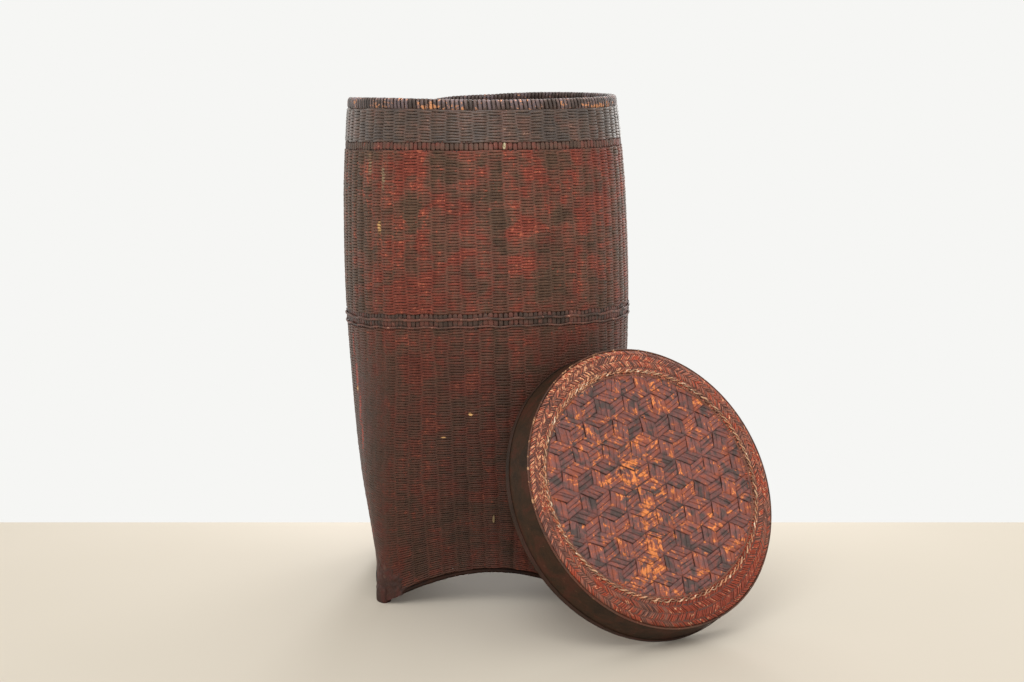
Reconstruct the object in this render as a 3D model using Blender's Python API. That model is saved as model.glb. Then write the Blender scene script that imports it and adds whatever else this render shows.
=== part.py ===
"""Lidded basket: a tall close-woven basket on four corner feet, with its cap lid
leaning against it. The wall is round at the mouth and square at the foot.

Metres, +Z up. The basket's own frame has its axis near x = y = 0 and its feet at z = 0;
the whole set is moved at the end so that its footprint is centred on the origin.
"""
import math

import bmesh
import bpy
from mathutils import Matrix, Vector

# Driving dimensions of the basket
BASKET_HEIGHT = 0.500
HALF_WIDTHS = [                # level up the wall, half width of the outer face
    (0.000, 0.1195), (0.030, 0.1211), (0.060, 0.1255), (0.130, 0.1356), (0.210, 0.1420),
    (0.310, 0.1460), (0.400, 0.1446), (0.450, 0.1415), (0.500, 0.1366)]
SQUARENESS = [                 # level, exponent of the outline: 2 is round, 8 nearly square
    (0.000, 8.0), (0.060, 5.0), (0.130, 3.2), (0.210, 2.25),
    (0.260, 2.05), (0.350, 2.0), (0.500, 2.0)]
WALL = 0.0035                  # thickness of the woven wall
STAKES = 56                    # upright stakes, each a low rib of the wall between two grooves
RIB_CREST = 0.0004             # depth of a rib's face under the wall's outer face
RIB_GROOVE = 0.0015            # depth of the grooves, where the wefts pass between stakes
RIB_PLACES = ((0.27, RIB_CREST), (0.50, RIB_GROOVE), (0.73, RIB_CREST))  # share of a stake, depth
WALL_LEVELS = (0.030, 0.060, 0.100, 0.145, 0.190, 0.228, 0.270, 0.320, 0.380, 0.430, 0.484)
MOUTH_DEPTH_RATIO = 0.955      # the mouth has sprung to an oval: depth over width
OVAL_FROM = 0.300              # level where the wall starts to turn oval
GAP = 0.0003                   # air between pieces that touch

# The old basket leans and its rows have settled
LEAN_AT_FOOT = 0.0064
LEAN_SLOPE = -0.0245
RING_TILT = 0.0255             # rise of a ring per metre to the right, at half height
TILT_REACH = 0.560
ROW_SAG = 0.0095               # how much lower the rows lie at the two sides
SAG_REACH = 0.440
RIM_DIPS = (                   # angle, spread and drop of the mouth: low at the back left
    (math.radians(125), math.radians(35), 0.0090), (math.radians(-130), math.radians(32), -0.0018),
    (math.radians(105), math.radians(12), -0.0022))
DIP_FROM = 0.300

# The four arches between the feet
ARCH_HEIGHT = 0.0335
ARCH_HALF_SPAN = 0.109
ARCH_POWER = 1.9
ARCH_FADE = 0.220              # level where the rows no longer follow the arches
EDGE_CORD_RADIUS = 0.0029
EDGE_CORD_LEVEL = 0.0032
EDGE_CORD_DEPTH = 0.0018
EDGE_CORD_HALF_SPAN = 0.0985
WALL_FOOT_LEVEL = 0.0065       # the wall starts above the edge cord
CORNER_CUT = 0.006             # and this much higher over a foot
CORNER_CUT_SPAN = (0.089, 0.1015)

# Corner stakes and feet
STAKE_TOP = 0.228
STAKE_HALF_WIDTH = 0.0035
STAKE_PROUD = 0.0025
STAKE_GAP = 0.0009             # air between a stake and the curved wall
FOOT_HALF_WIDTH = 0.0065
FOOT_DEPTH = 0.010
FOOT_HEIGHT = 0.0117
FOOT_TAPER = 0.001             # a foot is this much slimmer at the table
STAKE_TIP_WIDTH = 0.6          # shares of a stake's width and thickness left at its top
STAKE_TIP_PROUD = 0.4

# Woven bottom, raised in the middle
BASE_THICKNESS = 0.003
BASE_EDGE_LEVEL = 0.014
BASE_CENTRE_HEIGHT = 0.050
BASE_GAP = 0.0008              # air between the bottom and the wall

# Rim: depths are measured inwards from the wall's outer face
RIM_FACE = 0.0007
LASHING = 0.0006
RIM_HOOP = 0.0018
WALL_AT_RIM = 0.0010
NECK_LEVEL = 0.4888            # the wall is thinned above this level
RIM_BOTTOM = 0.4893
HOOP_BOTTOM = 0.4898
HOOP_TOP = 0.4972
REED_TOP = 0.4990
LASHING_ROUNDING = 0.0012

# Strands that stand out of the wall
UPPER_RIDGE = (0.4530, 0.4597)
MIDDLE_RIDGE_UPPER = (0.2916, 0.2950)
MIDDLE_RIDGE_LOWER = (0.2843, 0.2877)
RIDGE_PROUD = 0.0012
UPPER_PEG = {"along": 0.0180, "level": 0.4566, "width": 0.0028, "height": 0.0060, "proud": 0.0030}
LOWER_PEG = {"along": 0.0070, "level": 0.0775, "width": 0.0026, "height": 0.0092, "proud": 0.0018}
PEG_CORNERS = ((-1, -0.7), (0, -1), (1, -0.7), (1, 0.7), (0, 1), (-1, 0.7))
PEG_TIP = 0.8                  # share of the peg's width and height left at its end

# The lid, in its own frame: w = 0 at the open edge, w upwards to the face
LID_HEIGHT = 0.0381
LID_MOUTH_RADIUS = 0.1415
LID_TOP_RADIUS = 0.1376
LID_BAND_HEIGHT = 0.0332
LID_BAND = 0.0018
LID_EDGE_ROUND = 0.0005
LID_HOOP = 0.0007              # thickness of the two hoops at the open edge
LID_OPEN_HOOP = (0.0024, 0.0069)
LID_INNER_HOOP = (0.0015, 0.0130)
LID_LINING = 0.0012
LID_LINING_DISH = 0.0004       # the lining's edge turns down a little
LID_RING_RADIUS = 0.1150       # middle of the stitching
LID_RING_OVAL = (1.0435, 0.9757)  # the stitched ring is an oval, wider along the table
LID_RING_SHIFT = (-0.0028, 0.0014)  # and its middle lies to the left of the lid's and above it
LID_ROUND_FROM = 0.1310        # from this radius outwards the lid is round
LID_STITCH_RADIUS = 0.0016
LID_STRIP = (0.1110, 0.1130)
LID_PANEL_RADIUS = 0.1107
LID_PANEL_RECESS = 0.0010
LID_PANEL_BEVEL = (0.004, 0.0008)
LID_PANEL_SWELL = 0.0006       # the panel is a little higher in the middle
LID_STRIP_SINK = (0.0004, 0.0002)
LID_BORDER_FOOT = 0.0022
LID_BORDER_ROUNDING = ((0.0018, 0.0026), (0.0045, 0.0011), (0.0095, 0.0002))  # in from the band, down
LID_CANE_RADIUS = 0.0008
# How the lid leans: turned to the right of the front, its face tipped up
LID_TURN = math.radians(33.7)
LID_LEAN = math.radians(28.7)
LID_ALONG = 0.0283             # how far the lid's middle lies to the right of its line of lean
LEAN_GAP = 0.0006

ROUND = 48                     # facets round the basket and the lid
BACK = -1.5 * math.pi          # angle of the middle of the back, where the stakes are counted from

COLOURS = {
    "wall": (0.105, 0.030, 0.022, 1), "base": (0.085, 0.035, 0.022, 1),
    "edge": (0.070, 0.028, 0.020, 1), "stake": (0.090, 0.028, 0.022, 1),
    "rim": (0.075, 0.040, 0.028, 1), "ridge": (0.060, 0.026, 0.020, 1),
    "peg": (0.450, 0.360, 0.240, 1), "panel": (0.150, 0.050, 0.032, 1),
    "border": (0.230, 0.080, 0.038, 1), "strip": (0.360, 0.140, 0.050, 1),
    "stitch": (0.620, 0.500, 0.330, 1), "cane": (0.330, 0.190, 0.100, 1),
    "band": (0.085, 0.040, 0.026, 1), "lining": (0.170, 0.090, 0.050, 1)}


def between(table, level):
    """Smooth reading of a table of (level, value) points."""
    if level <= table[0][0]:
        return table[0][1]
    if level >= table[-1][0]:
        return table[-1][1]
    i = max(k for k in range(len(table) - 1) if table[k][0] <= level)
    (x0, y0), (x1, y1) = table[i], table[i + 1]
    before = table[i - 1] if i else (2 * x0 - x1, 2 * y0 - y1)
    after = table[i + 2] if i + 2 < len(table) else (2 * x1 - x0, 2 * y1 - y0)
    slope0 = (y1 - before[1]) / (x1 - before[0])
    slope1 = (after[1] - y0) / (after[0] - x0)
    t = (level - x0) / (x1 - x0)
    run = x1 - x0
    return ((2 * t**3 - 3 * t**2 + 1) * y0 + (t**3 - 2 * t**2 + t) * run * slope0
            + (3 * t**2 - 2 * t**3) * y1 + (t**3 - t**2) * run * slope1)


def clamp(value):
    return min(1.0, max(0.0, value))


def arch(side_distance):
    """Height of the arch over the table, by the distance from the middle of a side."""
    return ARCH_HEIGHT * max(0.0, 1 - (side_distance / ARCH_HALF_SPAN) ** ARCH_POWER)


def settle(x, y, level, angle):
    """Height of a point of the wall after the rows have followed arches, lean and sag."""
    fade = clamp(1 - level / ARCH_FADE) ** 2
    height = level + arch(min(abs(x), abs(y))) * fade
    height += RING_TILT * math.sin(math.pi * clamp(level / TILT_REACH)) * x
    sag = ROW_SAG * math.sin(math.pi * clamp((BASKET_HEIGHT - level) / SAG_REACH))
    height -= sag * math.cos(angle) ** 2
    loose = clamp((level - DIP_FROM) / (BASKET_HEIGHT - DIP_FROM)) ** 2
    for dip_angle, spread, drop in RIM_DIPS:
        turn = (angle - dip_angle + math.pi) % (2 * math.pi) - math.pi
        height -= drop * math.exp(-(turn / spread) ** 2) * loose
    return height


def outline(angle, level, out=0.0):
    """Plan position of the wall's outer face, moved out by some distance."""
    half = between(HALF_WIDTHS, level) + out
    power = between(SQUARENESS, level)
    reach = (abs(math.cos(angle)) ** power + abs(math.sin(angle)) ** power) ** (-1 / power)
    oval = clamp((level - OVAL_FROM) / (BASKET_HEIGHT - OVAL_FROM))
    flat = 1 - (1 - MOUTH_DEPTH_RATIO) * oval
    return half * reach * math.cos(angle), half * reach * math.sin(angle) * flat


def skin(angle, level, out=0.0):
    """Point of the basket, by angle, level up the wall and distance out of its face."""
    x, y = outline(angle, level, out)
    return Vector((x + LEAN_AT_FOOT + LEAN_SLOPE * level, y, settle(x, y, level, angle)))


def material(name):
    """Principled finish of one kind of piece."""
    found = bpy.data.materials.get(name)
    if found:
        return found
    made = bpy.data.materials.new(name)
    made.use_nodes = True
    shader = made.node_tree.nodes["Principled BSDF"]
    shader.inputs["Base Color"].default_value = COLOURS[name]
    shader.inputs["Roughness"].default_value = 0.55
    shader.inputs["Metallic"].default_value = 0.0
    made.diffuse_color = COLOURS[name]
    return made


def finish_piece(name, bm, finish, parent):
    """Turn a bmesh into a named, smooth-shaded object under its parent."""
    bmesh.ops.recalc_face_normals(bm, faces=bm.faces)
    mesh = bpy.data.meshes.new(name)
    bm.to_mesh(mesh)
    bm.free()
    mesh.shade_smooth()
    mesh.set_sharp_from_angle(angle=math.radians(40))
    mesh.materials.append(material(finish))
    made = bpy.data.objects.new(name, mesh)
    made.parent = parent
    bpy.context.collection.objects.link(made)
    return made


def empty(name):
    made = bpy.data.objects.new(name, None)
    bpy.context.collection.objects.link(made)
    return made


def join_loops(bm, loops, closed):
    """Quads between neighbouring loops of points; the loops may close into a ring."""
    rows = [[bm.verts.new(point) for point in loop] for loop in loops]
    count = len(rows[0])
    last = len(rows) if closed else len(rows) - 1
    for i in range(last):
        here, there = rows[i], rows[(i + 1) % len(rows)]
        for j in range(count):
            k = (j + 1) % count
            bm.faces.new((here[j], here[k], there[k], there[j]))
    if not closed:
        bm.faces.new(rows[0])
        bm.faces.new(list(reversed(rows[-1])))


def skin_ring(name, section, finish, parent, level_at=None):
    """Closed ring round the basket; section is a loop of (level, out) corners."""
    bm = bmesh.new()
    loops = []
    for k in range(ROUND):
        angle = 2 * math.pi * k / ROUND
        loops.append([skin(angle, level_at(angle, level) if level_at else level, out)
                      for level, out in section])
    join_loops(bm, loops, closed=True)
    return finish_piece(name, bm, finish, parent)


def wall_level(angle, level):
    """The wall's lower edge is cut back over the feet."""
    if level > WALL_FOOT_LEVEL:
        return level
    x, y = outline(angle, level)
    start, end = CORNER_CUT_SPAN
    return level + CORNER_CUT * clamp((min(abs(x), abs(y)) - start) / (end - start))


def stake_shares():
    """Places of the ribs' faces and grooves, as shares of the way round from the back."""
    return [((stake + place) / STAKES, depth) for stake in range(STAKES) for place, depth in RIB_PLACES]


def spaced_angles(level, shares):
    """Angles at which the wall's line has gone these shares of its way round from the back."""
    steps = 1440
    angles = [BACK + 2 * math.pi * k / steps for k in range(steps + 1)]
    points = [outline(angle, level) for angle in angles]
    run = [0.0]
    for here, there in zip(points, points[1:]):
        run.append(run[-1] + math.dist(here, there))
    found, k = [], 0
    for share in shares:
        goal = share * run[-1]
        while run[k + 1] < goal:
            k += 1
        found.append(angles[k] + (goal - run[k]) / (run[k + 1] - run[k]) * (angles[1] - angles[0]))
    return found


def join_unequal(bm, first, second):
    """Triangles between two closed loops of unlike counts, each a list of (angle, corner)."""
    def ahead(loop, at):
        lap, place = divmod(at + 1, len(loop))
        return loop[place][0] + 2 * math.pi * lap

    i = j = 0
    while i < len(first) or j < len(second):
        a, b = first[i % len(first)][1], second[j % len(second)][1]
        if j == len(second) or (i < len(first) and ahead(first, i) <= ahead(second, j)):
            i += 1
            bm.faces.new((a, first[i % len(first)][1], b))
        else:
            j += 1
            bm.faces.new((a, second[j % len(second)][1], b))


def wall_weave(parent):
    """The whole woven wall, ribbed over its stakes and thinned between the two rim hoops."""
    levels = [WALL_FOOT_LEVEL, *WALL_LEVELS]
    outer_depth = RIM_FACE + LASHING + RIM_HOOP + 2 * GAP
    inner_depth = outer_depth + WALL_AT_RIM
    bm = bmesh.new()
    shares, depths = zip(*stake_shares())
    ribbed = []
    for level in levels:
        ribbed.append([(angle, bm.verts.new(skin(angle, wall_level(angle, level), -depth)))
                       for angle, depth in zip(spaced_angles(level, shares), depths)])
    plain = []
    for level, depth in ((NECK_LEVEL, outer_depth), (HOOP_TOP - GAP, outer_depth),
                         (HOOP_TOP - GAP, inner_depth), (NECK_LEVEL, inner_depth),
                         *((level, WALL) for level in reversed(levels))):
        angles = [BACK + 2 * math.pi * k / ROUND for k in range(ROUND)]
        plain.append([(angle, bm.verts.new(skin(angle, wall_level(angle, level), -depth)))
                      for angle in angles])
    for loops in (ribbed, plain):
        for here, there in zip(loops, loops[1:]):
            for j in range(len(here)):
                k = (j + 1) % len(here)
                bm.faces.new((here[j][1], here[k][1], there[k][1], there[j][1]))
    join_unequal(bm, ribbed[-1], plain[0])
    join_unequal(bm, ribbed[0], plain[-1])
    finish_piece("wall_weave", bm, "wall", parent)


def rim(parent):
    """Outer and inner hoop, the reed over the wall's end, and the lashing over all."""
    outer_hoop = RIM_FACE + LASHING + GAP
    wall_out = outer_hoop + RIM_HOOP + GAP
    wall_in = wall_out + WALL_AT_RIM
    inner_hoop = wall_in + GAP
    inner_face = inner_hoop + RIM_HOOP + GAP + LASHING

    def box(low, high, near, far):
        return [(low, -near), (high, -near), (high, -far), (low, -far)]

    hoop_levels = (HOOP_BOTTOM, HOOP_TOP)
    skin_ring("rim_outer_hoop", box(*hoop_levels, outer_hoop, outer_hoop + RIM_HOOP), "rim", parent)
    skin_ring("rim_inner_hoop", box(*hoop_levels, inner_hoop, inner_hoop + RIM_HOOP), "rim", parent)
    reed_levels = (HOOP_TOP + GAP, REED_TOP)
    skin_ring("rim_core_reed", box(*reed_levels, wall_out - GAP, wall_in + GAP), "rim", parent)
    cut = LASHING_ROUNDING
    lashing = [
        (RIM_BOTTOM, -RIM_FACE), (BASKET_HEIGHT - cut, -RIM_FACE),
        (BASKET_HEIGHT, -RIM_FACE - cut), (BASKET_HEIGHT, -inner_face + cut),
        (BASKET_HEIGHT - cut, -inner_face), (RIM_BOTTOM, -inner_face),
        (RIM_BOTTOM, -inner_face + LASHING), (REED_TOP + GAP, -inner_face + LASHING),
        (REED_TOP + GAP, -RIM_FACE - LASHING), (RIM_BOTTOM, -RIM_FACE - LASHING)]
    skin_ring("rim_lashing", lashing, "rim", parent)


def ridges(parent):
    """The strands that stand proud of the wall."""
    for name, (low, high) in (("upper_ridge_strand", UPPER_RIDGE),
                              ("middle_ridge_upper", MIDDLE_RIDGE_UPPER),
                              ("middle_ridge_lower", MIDDLE_RIDGE_LOWER)):
        chamfer = RIDGE_PROUD / 2
        skin_ring(name, [(low, GAP), (low + chamfer, RIDGE_PROUD), (high - chamfer, RIDGE_PROUD),
                         (high, GAP)], "ridge", parent)


def corner_stake(name, corner, parent):
    """A heavy stake down one corner, which turns in under the wall to make the foot."""
    def section(level, half_width, near, far, flat_at=None):
        plan = math.hypot(*outline(corner, level))
        points = []
        for out, order in ((near, (-1, 0, 1)), (far, (1, 0, -1))):
            for step in order:
                point = skin(corner + step * half_width / plan, level, out)
                if flat_at is not None:
                    point.z = flat_at
                points.append(point)
        return points

    proud = STAKE_GAP + STAKE_PROUD
    tip_out = STAKE_GAP + STAKE_PROUD * STAKE_TIP_PROUD
    loops = [section(STAKE_TOP, STAKE_HALF_WIDTH * STAKE_TIP_WIDTH, tip_out, STAKE_GAP)]
    for level in reversed([level for level in WALL_LEVELS if level < STAKE_TOP]):
        loops.append(section(level, STAKE_HALF_WIDTH, proud, STAKE_GAP))
    foot_top = FOOT_HEIGHT + GAP
    loops.append(section(foot_top, FOOT_HALF_WIDTH, proud, STAKE_GAP, foot_top))
    loops.append(section(FOOT_HEIGHT, FOOT_HALF_WIDTH, proud, -FOOT_DEPTH, FOOT_HEIGHT))
    loops.append(section(0.0, FOOT_HALF_WIDTH, proud - FOOT_TAPER, FOOT_TAPER - FOOT_DEPTH, 0.0))
    bm = bmesh.new()
    join_loops(bm, loops, closed=False)
    finish_piece(name, bm, "stake", parent)


def base_edge_cord(name, side, parent):
    """The thick edge that follows one arch, from foot to foot."""
    steps, sides = 14, 6
    loops = []
    for i in range(steps + 1):
        along = EDGE_CORD_HALF_SPAN * (2 * i / steps - 1)
        angle = side + math.atan2(along, between(HALF_WIDTHS, 0))
        loop = []
        for j in range(sides):
            turn = 2 * math.pi * j / sides
            loop.append(skin(angle, EDGE_CORD_LEVEL + EDGE_CORD_RADIUS * math.sin(turn),
                             -EDGE_CORD_DEPTH + EDGE_CORD_RADIUS * math.cos(turn)))
        loops.append(loop)
    bm = bmesh.new()
    join_loops(bm, loops, closed=False)
    finish_piece(name, bm, "edge", parent)


def base_weave(parent):
    """The square bottom, closed all round inside the wall and raised in the middle."""
    rings = (1.0, 0.75, 0.5, 0.25)
    bm = bmesh.new()

    def ring(share, lift):
        made = []
        for k in range(ROUND):
            angle = 2 * math.pi * k / ROUND
            edge = skin(angle, BASE_EDGE_LEVEL, -WALL - BASE_GAP)
            centre = Vector((LEAN_AT_FOOT, 0, BASE_CENTRE_HEIGHT))
            point = centre.lerp(edge, share)
            point.z = BASE_CENTRE_HEIGHT + (edge.z - BASE_CENTRE_HEIGHT) * share ** 2 + lift
            made.append(bm.verts.new(point))
        return made

    top = [ring(share, BASE_THICKNESS) for share in rings]
    bottom = [ring(share, 0) for share in rings]
    for i in range(len(rings) - 1):
        for k in range(ROUND):
            j = (k + 1) % ROUND
            bm.faces.new((top[i][k], top[i][j], top[i + 1][j], top[i + 1][k]))
            bm.faces.new((bottom[i][j], bottom[i][k], bottom[i + 1][k], bottom[i + 1][j]))
    for k in range(ROUND):
        j = (k + 1) % ROUND
        bm.faces.new((bottom[0][k], bottom[0][j], top[0][j], top[0][k]))
    bm.faces.new(top[-1])
    bm.faces.new(list(reversed(bottom[-1])))
    finish_piece("base_weave", bm, "base", parent)


def front_angle(along, level):
    """Angle of the point of the front wall that lies some distance right of its middle."""
    angle = -math.pi / 2
    for _ in range(20):
        angle += (along - skin(angle, level).x) / between(HALF_WIDTHS, level)
    return angle


def peg(name, size, base_out, parent):
    """A small split peg that stands out of the front of the wall."""
    angle = front_angle(size["along"], size["level"])
    turn = size["width"] / 2 / between(HALF_WIDTHS, size["level"])
    loops = []
    for out, share in ((base_out, 1.0), (size["proud"], PEG_TIP)):
        loops.append([skin(angle + a * turn * share, size["level"] + b * size["height"] / 2 * share, out)
                      for a, b in PEG_CORNERS])
    bm = bmesh.new()
    join_loops(bm, loops, closed=False)
    finish_piece(name, bm, "peg", parent)


def basket(parent):
    wall_weave(parent)
    base_weave(parent)
    rim(parent)
    ridges(parent)
    corners = ("front_left", -3), ("front_right", -1), ("back_right", 1), ("back_left", 3)
    for name, quarter in corners:
        corner_stake("corner_stake_" + name, quarter * math.pi / 4, parent)
    sides = ("front", -1), ("right", 0), ("back", 1), ("left", 2)
    for name, quarter in sides:
        base_edge_cord("base_edge_" + name, quarter * math.pi / 2, parent)
    peg("upper_peg", UPPER_PEG, RIDGE_PROUD + GAP, parent)
    peg("lower_peg", LOWER_PEG, GAP, parent)


def ring_oval(point):
    """Draw the round face of the lid to the oval of its stitched ring."""
    share = clamp((LID_ROUND_FROM - math.hypot(point.x, point.y)) / (LID_ROUND_FROM - LID_RING_RADIUS))
    (wide, deep), (aside, higher) = LID_RING_OVAL, LID_RING_SHIFT
    return Vector((point.x * (1 + (wide - 1) * share) + aside * share,
                   point.y * (1 + (deep - 1) * share) + higher * share, point.z))


def turned(name, section, finish, parent, oval=False):
    """A piece of the lid, turned from a section of (radius, w) points."""
    bm = bmesh.new()
    on_axis = section[0][0] == 0
    points = [bm.verts.new((radius, 0, w)) for radius, w in section]
    edges = [bm.edges.new(pair) for pair in zip(points, points[1:])]
    if not on_axis:
        edges.append(bm.edges.new((points[-1], points[0])))
    bmesh.ops.spin(bm, geom=points + edges, cent=(0, 0, 0), axis=(0, 0, 1),
                   angle=2 * math.pi, steps=ROUND, use_duplicate=False)
    bmesh.ops.remove_doubles(bm, verts=bm.verts, dist=0.00005)
    if oval:
        for vertex in bm.verts:
            vertex.co = ring_oval(vertex.co)
    return finish_piece(name, bm, finish, parent)


def round_section(radius, w, size, sides=6):
    """Section of a round rod bent to a ring."""
    return [(radius + size * math.cos(2 * math.pi * k / sides),
             w + size * math.sin(2 * math.pi * k / sides)) for k in range(sides)]


def band_radius(w):
    """Outer radius of the lid's band, which tapers from the open edge to the top."""
    return LID_MOUTH_RADIUS + (LID_TOP_RADIUS - LID_MOUTH_RADIUS) * w / LID_BAND_HEIGHT


def hoop_on_band(low, high, outward):
    """Section of a thin hoop that lies on the band, outside or inside."""
    if outward:
        near, far = GAP, GAP + LID_HOOP
    else:
        near, far = -LID_BAND - GAP, -LID_BAND - GAP - LID_HOOP
    return [(band_radius(low) + near, low), (band_radius(high) + near, high),
            (band_radius(high) + far, high), (band_radius(low) + far, low)]


def band_section():
    """Section of the band, with its open edge rounded over."""
    mouth = band_radius(0.0)
    return [(mouth, LID_EDGE_ROUND), (LID_TOP_RADIUS, LID_BAND_HEIGHT),
            (LID_TOP_RADIUS - LID_BAND, LID_BAND_HEIGHT), (mouth - LID_BAND, LID_EDGE_ROUND),
            (mouth - LID_BAND / 2, 0.0)]


def lid(parent):
    top = LID_HEIGHT
    under = LID_BAND_HEIGHT + LID_LINING + GAP
    lining = LID_TOP_RADIUS - LID_BAND - GAP
    turned("lid_side_band", band_section(), "band", parent)
    turned("lid_open_edge_hoop", hoop_on_band(*LID_OPEN_HOOP, True), "band", parent)
    turned("lid_inner_hoop", hoop_on_band(*LID_INNER_HOOP, False), "lining", parent)
    turned("lid_lining", [
        (0, LID_BAND_HEIGHT), (lining / 2, LID_BAND_HEIGHT), (lining, LID_BAND_HEIGHT - LID_LINING_DISH),
        (lining, under - GAP - LID_LINING_DISH), (lining / 2, under - GAP), (0, under - GAP)],
        "lining", parent)
    panel = top - LID_PANEL_RECESS
    bevel_in, bevel_down = LID_PANEL_BEVEL
    turned("lid_top_weave", [
        (0, under), (LID_PANEL_RADIUS, under), (LID_PANEL_RADIUS, panel - bevel_down),
        (LID_PANEL_RADIUS - bevel_in, panel), (0, panel + LID_PANEL_SWELL)], "panel", parent, True)
    strip_in, strip_out = LID_STRIP
    sink_in, sink_out = LID_STRIP_SINK
    turned("lid_ring_strip", [
        (strip_in, under), (strip_out, under), (strip_out, top - sink_out), (strip_in, top - sink_in)],
        "strip", parent, True)
    border_in = strip_out + GAP
    turned("lid_border_weave", [
        (border_in, under), (LID_TOP_RADIUS - LID_BORDER_FOOT, under),
        *((LID_TOP_RADIUS - inwards, top - down) for inwards, down in LID_BORDER_ROUNDING),
        (border_in, top)], "border", parent, True)
    turned("lid_edge_cane", round_section(
        LID_TOP_RADIUS - LID_CANE_RADIUS, LID_BAND_HEIGHT + GAP + LID_CANE_RADIUS, LID_CANE_RADIUS),
        "cane", parent)
    turned("lid_stitching", round_section(
        LID_RING_RADIUS, top + GAP + LID_STITCH_RADIUS * math.sin(math.pi / 3), LID_STITCH_RADIUS),
        "stitch", parent, True)


def lid_axes():
    """The lid's three directions: along the table, up its slope and out of its face."""
    out = Vector((math.sin(LID_TURN) * math.cos(LID_LEAN), -math.cos(LID_TURN) * math.cos(LID_LEAN),
                  math.sin(LID_LEAN)))
    along = Vector((math.cos(LID_TURN), math.sin(LID_TURN), 0))
    return along, out.cross(along), out


def lid_place():
    """Stand the lid on the table and slide it in until its edge meets the wall."""
    along, slope, out = lid_axes()
    edge = (band_section() + hoop_on_band(*LID_OPEN_HOOP, True) + hoop_on_band(*LID_INNER_HOOP, False))
    height = max(radius * slope.z - w * out.z for radius, w in edge)
    back = Vector((-math.sin(LID_TURN), math.cos(LID_TURN), 0))
    distance = 0.30
    for _ in range(200):
        centre = along * LID_ALONG - back * distance + Vector((0, 0, height))
        nearest = 1.0
        for radius, w in edge:
            for degrees in range(-90, 91):
                turn = math.radians(degrees)
                point = (centre + out * w + along * (radius * math.sin(turn))
                         + slope * (radius * math.cos(turn)))
                middle = LEAN_AT_FOOT + LEAN_SLOPE * point.z
                angle = math.atan2(point.y, point.x - middle)
                wall = math.hypot(*outline(angle, point.z))
                nearest = min(nearest, math.hypot(point.x - middle, point.y) - wall)
        if abs(nearest - LEAN_GAP) < 0.00001:
            break
        distance -= (nearest - LEAN_GAP) * 0.8
    frame = Matrix((along, slope, out)).transposed().to_4x4()
    frame.translation = centre
    return frame


def footprint(objects):
    """Middle of the box round all pieces, seen from above."""
    bpy.context.view_layer.update()
    corners = [piece_object.matrix_world @ vertex.co
               for piece_object in objects if piece_object.type == "MESH"
               for vertex in piece_object.data.vertices]
    low = [min(corner[axis] for corner in corners) for axis in (0, 1)]
    high = [max(corner[axis] for corner in corners) for axis in (0, 1)]
    return Vector(((low[0] + high[0]) / 2, (low[1] + high[1]) / 2, 0))


def main():
    for old in list(bpy.data.objects):
        bpy.data.objects.remove(old, do_unlink=True)
    basket_root = empty("basket_root")
    lid_root = empty("lid_root")
    basket(basket_root)
    lid(lid_root)
    lid_root.matrix_world = lid_place()
    middle = footprint(bpy.data.objects)
    basket_root.location -= middle
    lid_root.location -= middle
    bpy.context.view_layer.update()


main()
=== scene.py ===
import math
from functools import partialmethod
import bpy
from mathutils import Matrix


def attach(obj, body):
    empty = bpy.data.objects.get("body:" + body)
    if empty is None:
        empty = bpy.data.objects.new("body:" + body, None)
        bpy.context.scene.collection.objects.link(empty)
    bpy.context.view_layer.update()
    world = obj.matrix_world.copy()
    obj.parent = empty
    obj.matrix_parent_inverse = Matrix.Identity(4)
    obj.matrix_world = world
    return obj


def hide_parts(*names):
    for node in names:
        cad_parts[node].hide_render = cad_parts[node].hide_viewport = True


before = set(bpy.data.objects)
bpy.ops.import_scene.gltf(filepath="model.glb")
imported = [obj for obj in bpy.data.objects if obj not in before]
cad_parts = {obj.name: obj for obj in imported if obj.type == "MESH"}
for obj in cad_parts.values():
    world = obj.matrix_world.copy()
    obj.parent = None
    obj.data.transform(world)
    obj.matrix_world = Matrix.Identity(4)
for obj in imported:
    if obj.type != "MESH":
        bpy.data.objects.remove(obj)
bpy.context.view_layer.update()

# Looks of the lidded basket. The wall is woven for real: every weft ring passes over and
# under the stakes, and all of it is laid on the same form as the part's own wall.
# Metres, +Z up, in the part's frame. The lid's pieces are made in the lid's own frame,
# w = 0 at its open edge, and then set where it leans.
from types import SimpleNamespace

import bmesh
import bpy
import numpy as np
from mathutils import Matrix, Vector, noise

# The basket's form, as in the part's source
AXIS = (-0.06541188, 0.06699152)
BASKET_HEIGHT = 0.500
HALF_WIDTHS = [
    (0.000, 0.1195), (0.030, 0.1211), (0.060, 0.1255), (0.130, 0.1356), (0.210, 0.1420),
    (0.310, 0.1460), (0.400, 0.1446), (0.450, 0.1415), (0.500, 0.1366)]
SQUARENESS = [
    (0.000, 8.0), (0.060, 5.0), (0.130, 3.2), (0.210, 2.25), (0.260, 2.05), (0.350, 2.0), (0.500, 2.0)]
WALL = 0.0035
MOUTH_DEPTH_RATIO = 0.955
OVAL_FROM = 0.300
LEAN_AT_FOOT = 0.0064
LEAN_SLOPE = -0.0245
RING_TILT = 0.0255
TILT_REACH = 0.560
ROW_SAG = 0.0095
SAG_REACH = 0.440
RIM_DIPS = (                           # angle, spread and drop of the mouth
    (math.radians(125), math.radians(35), 0.0090), (math.radians(-130), math.radians(32), -0.0018),
    (math.radians(105), math.radians(12), -0.0022))
DIP_FROM = 0.300
ARCH_HEIGHT = 0.0335
ARCH_HALF_SPAN = 0.109
ARCH_POWER = 1.9
ARCH_FADE = 0.220

# The wall's form laid flat: x runs round it from the back, through the front at 0
GIRTH = 0.900
FORM_MARGIN = 0.02
FORM_LENGTH = GIRTH * (1 + 2 * FORM_MARGIN)
FORM_TOP = 0.504
FORM_COLUMNS = 313
FORM_ROWS = 127

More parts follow.
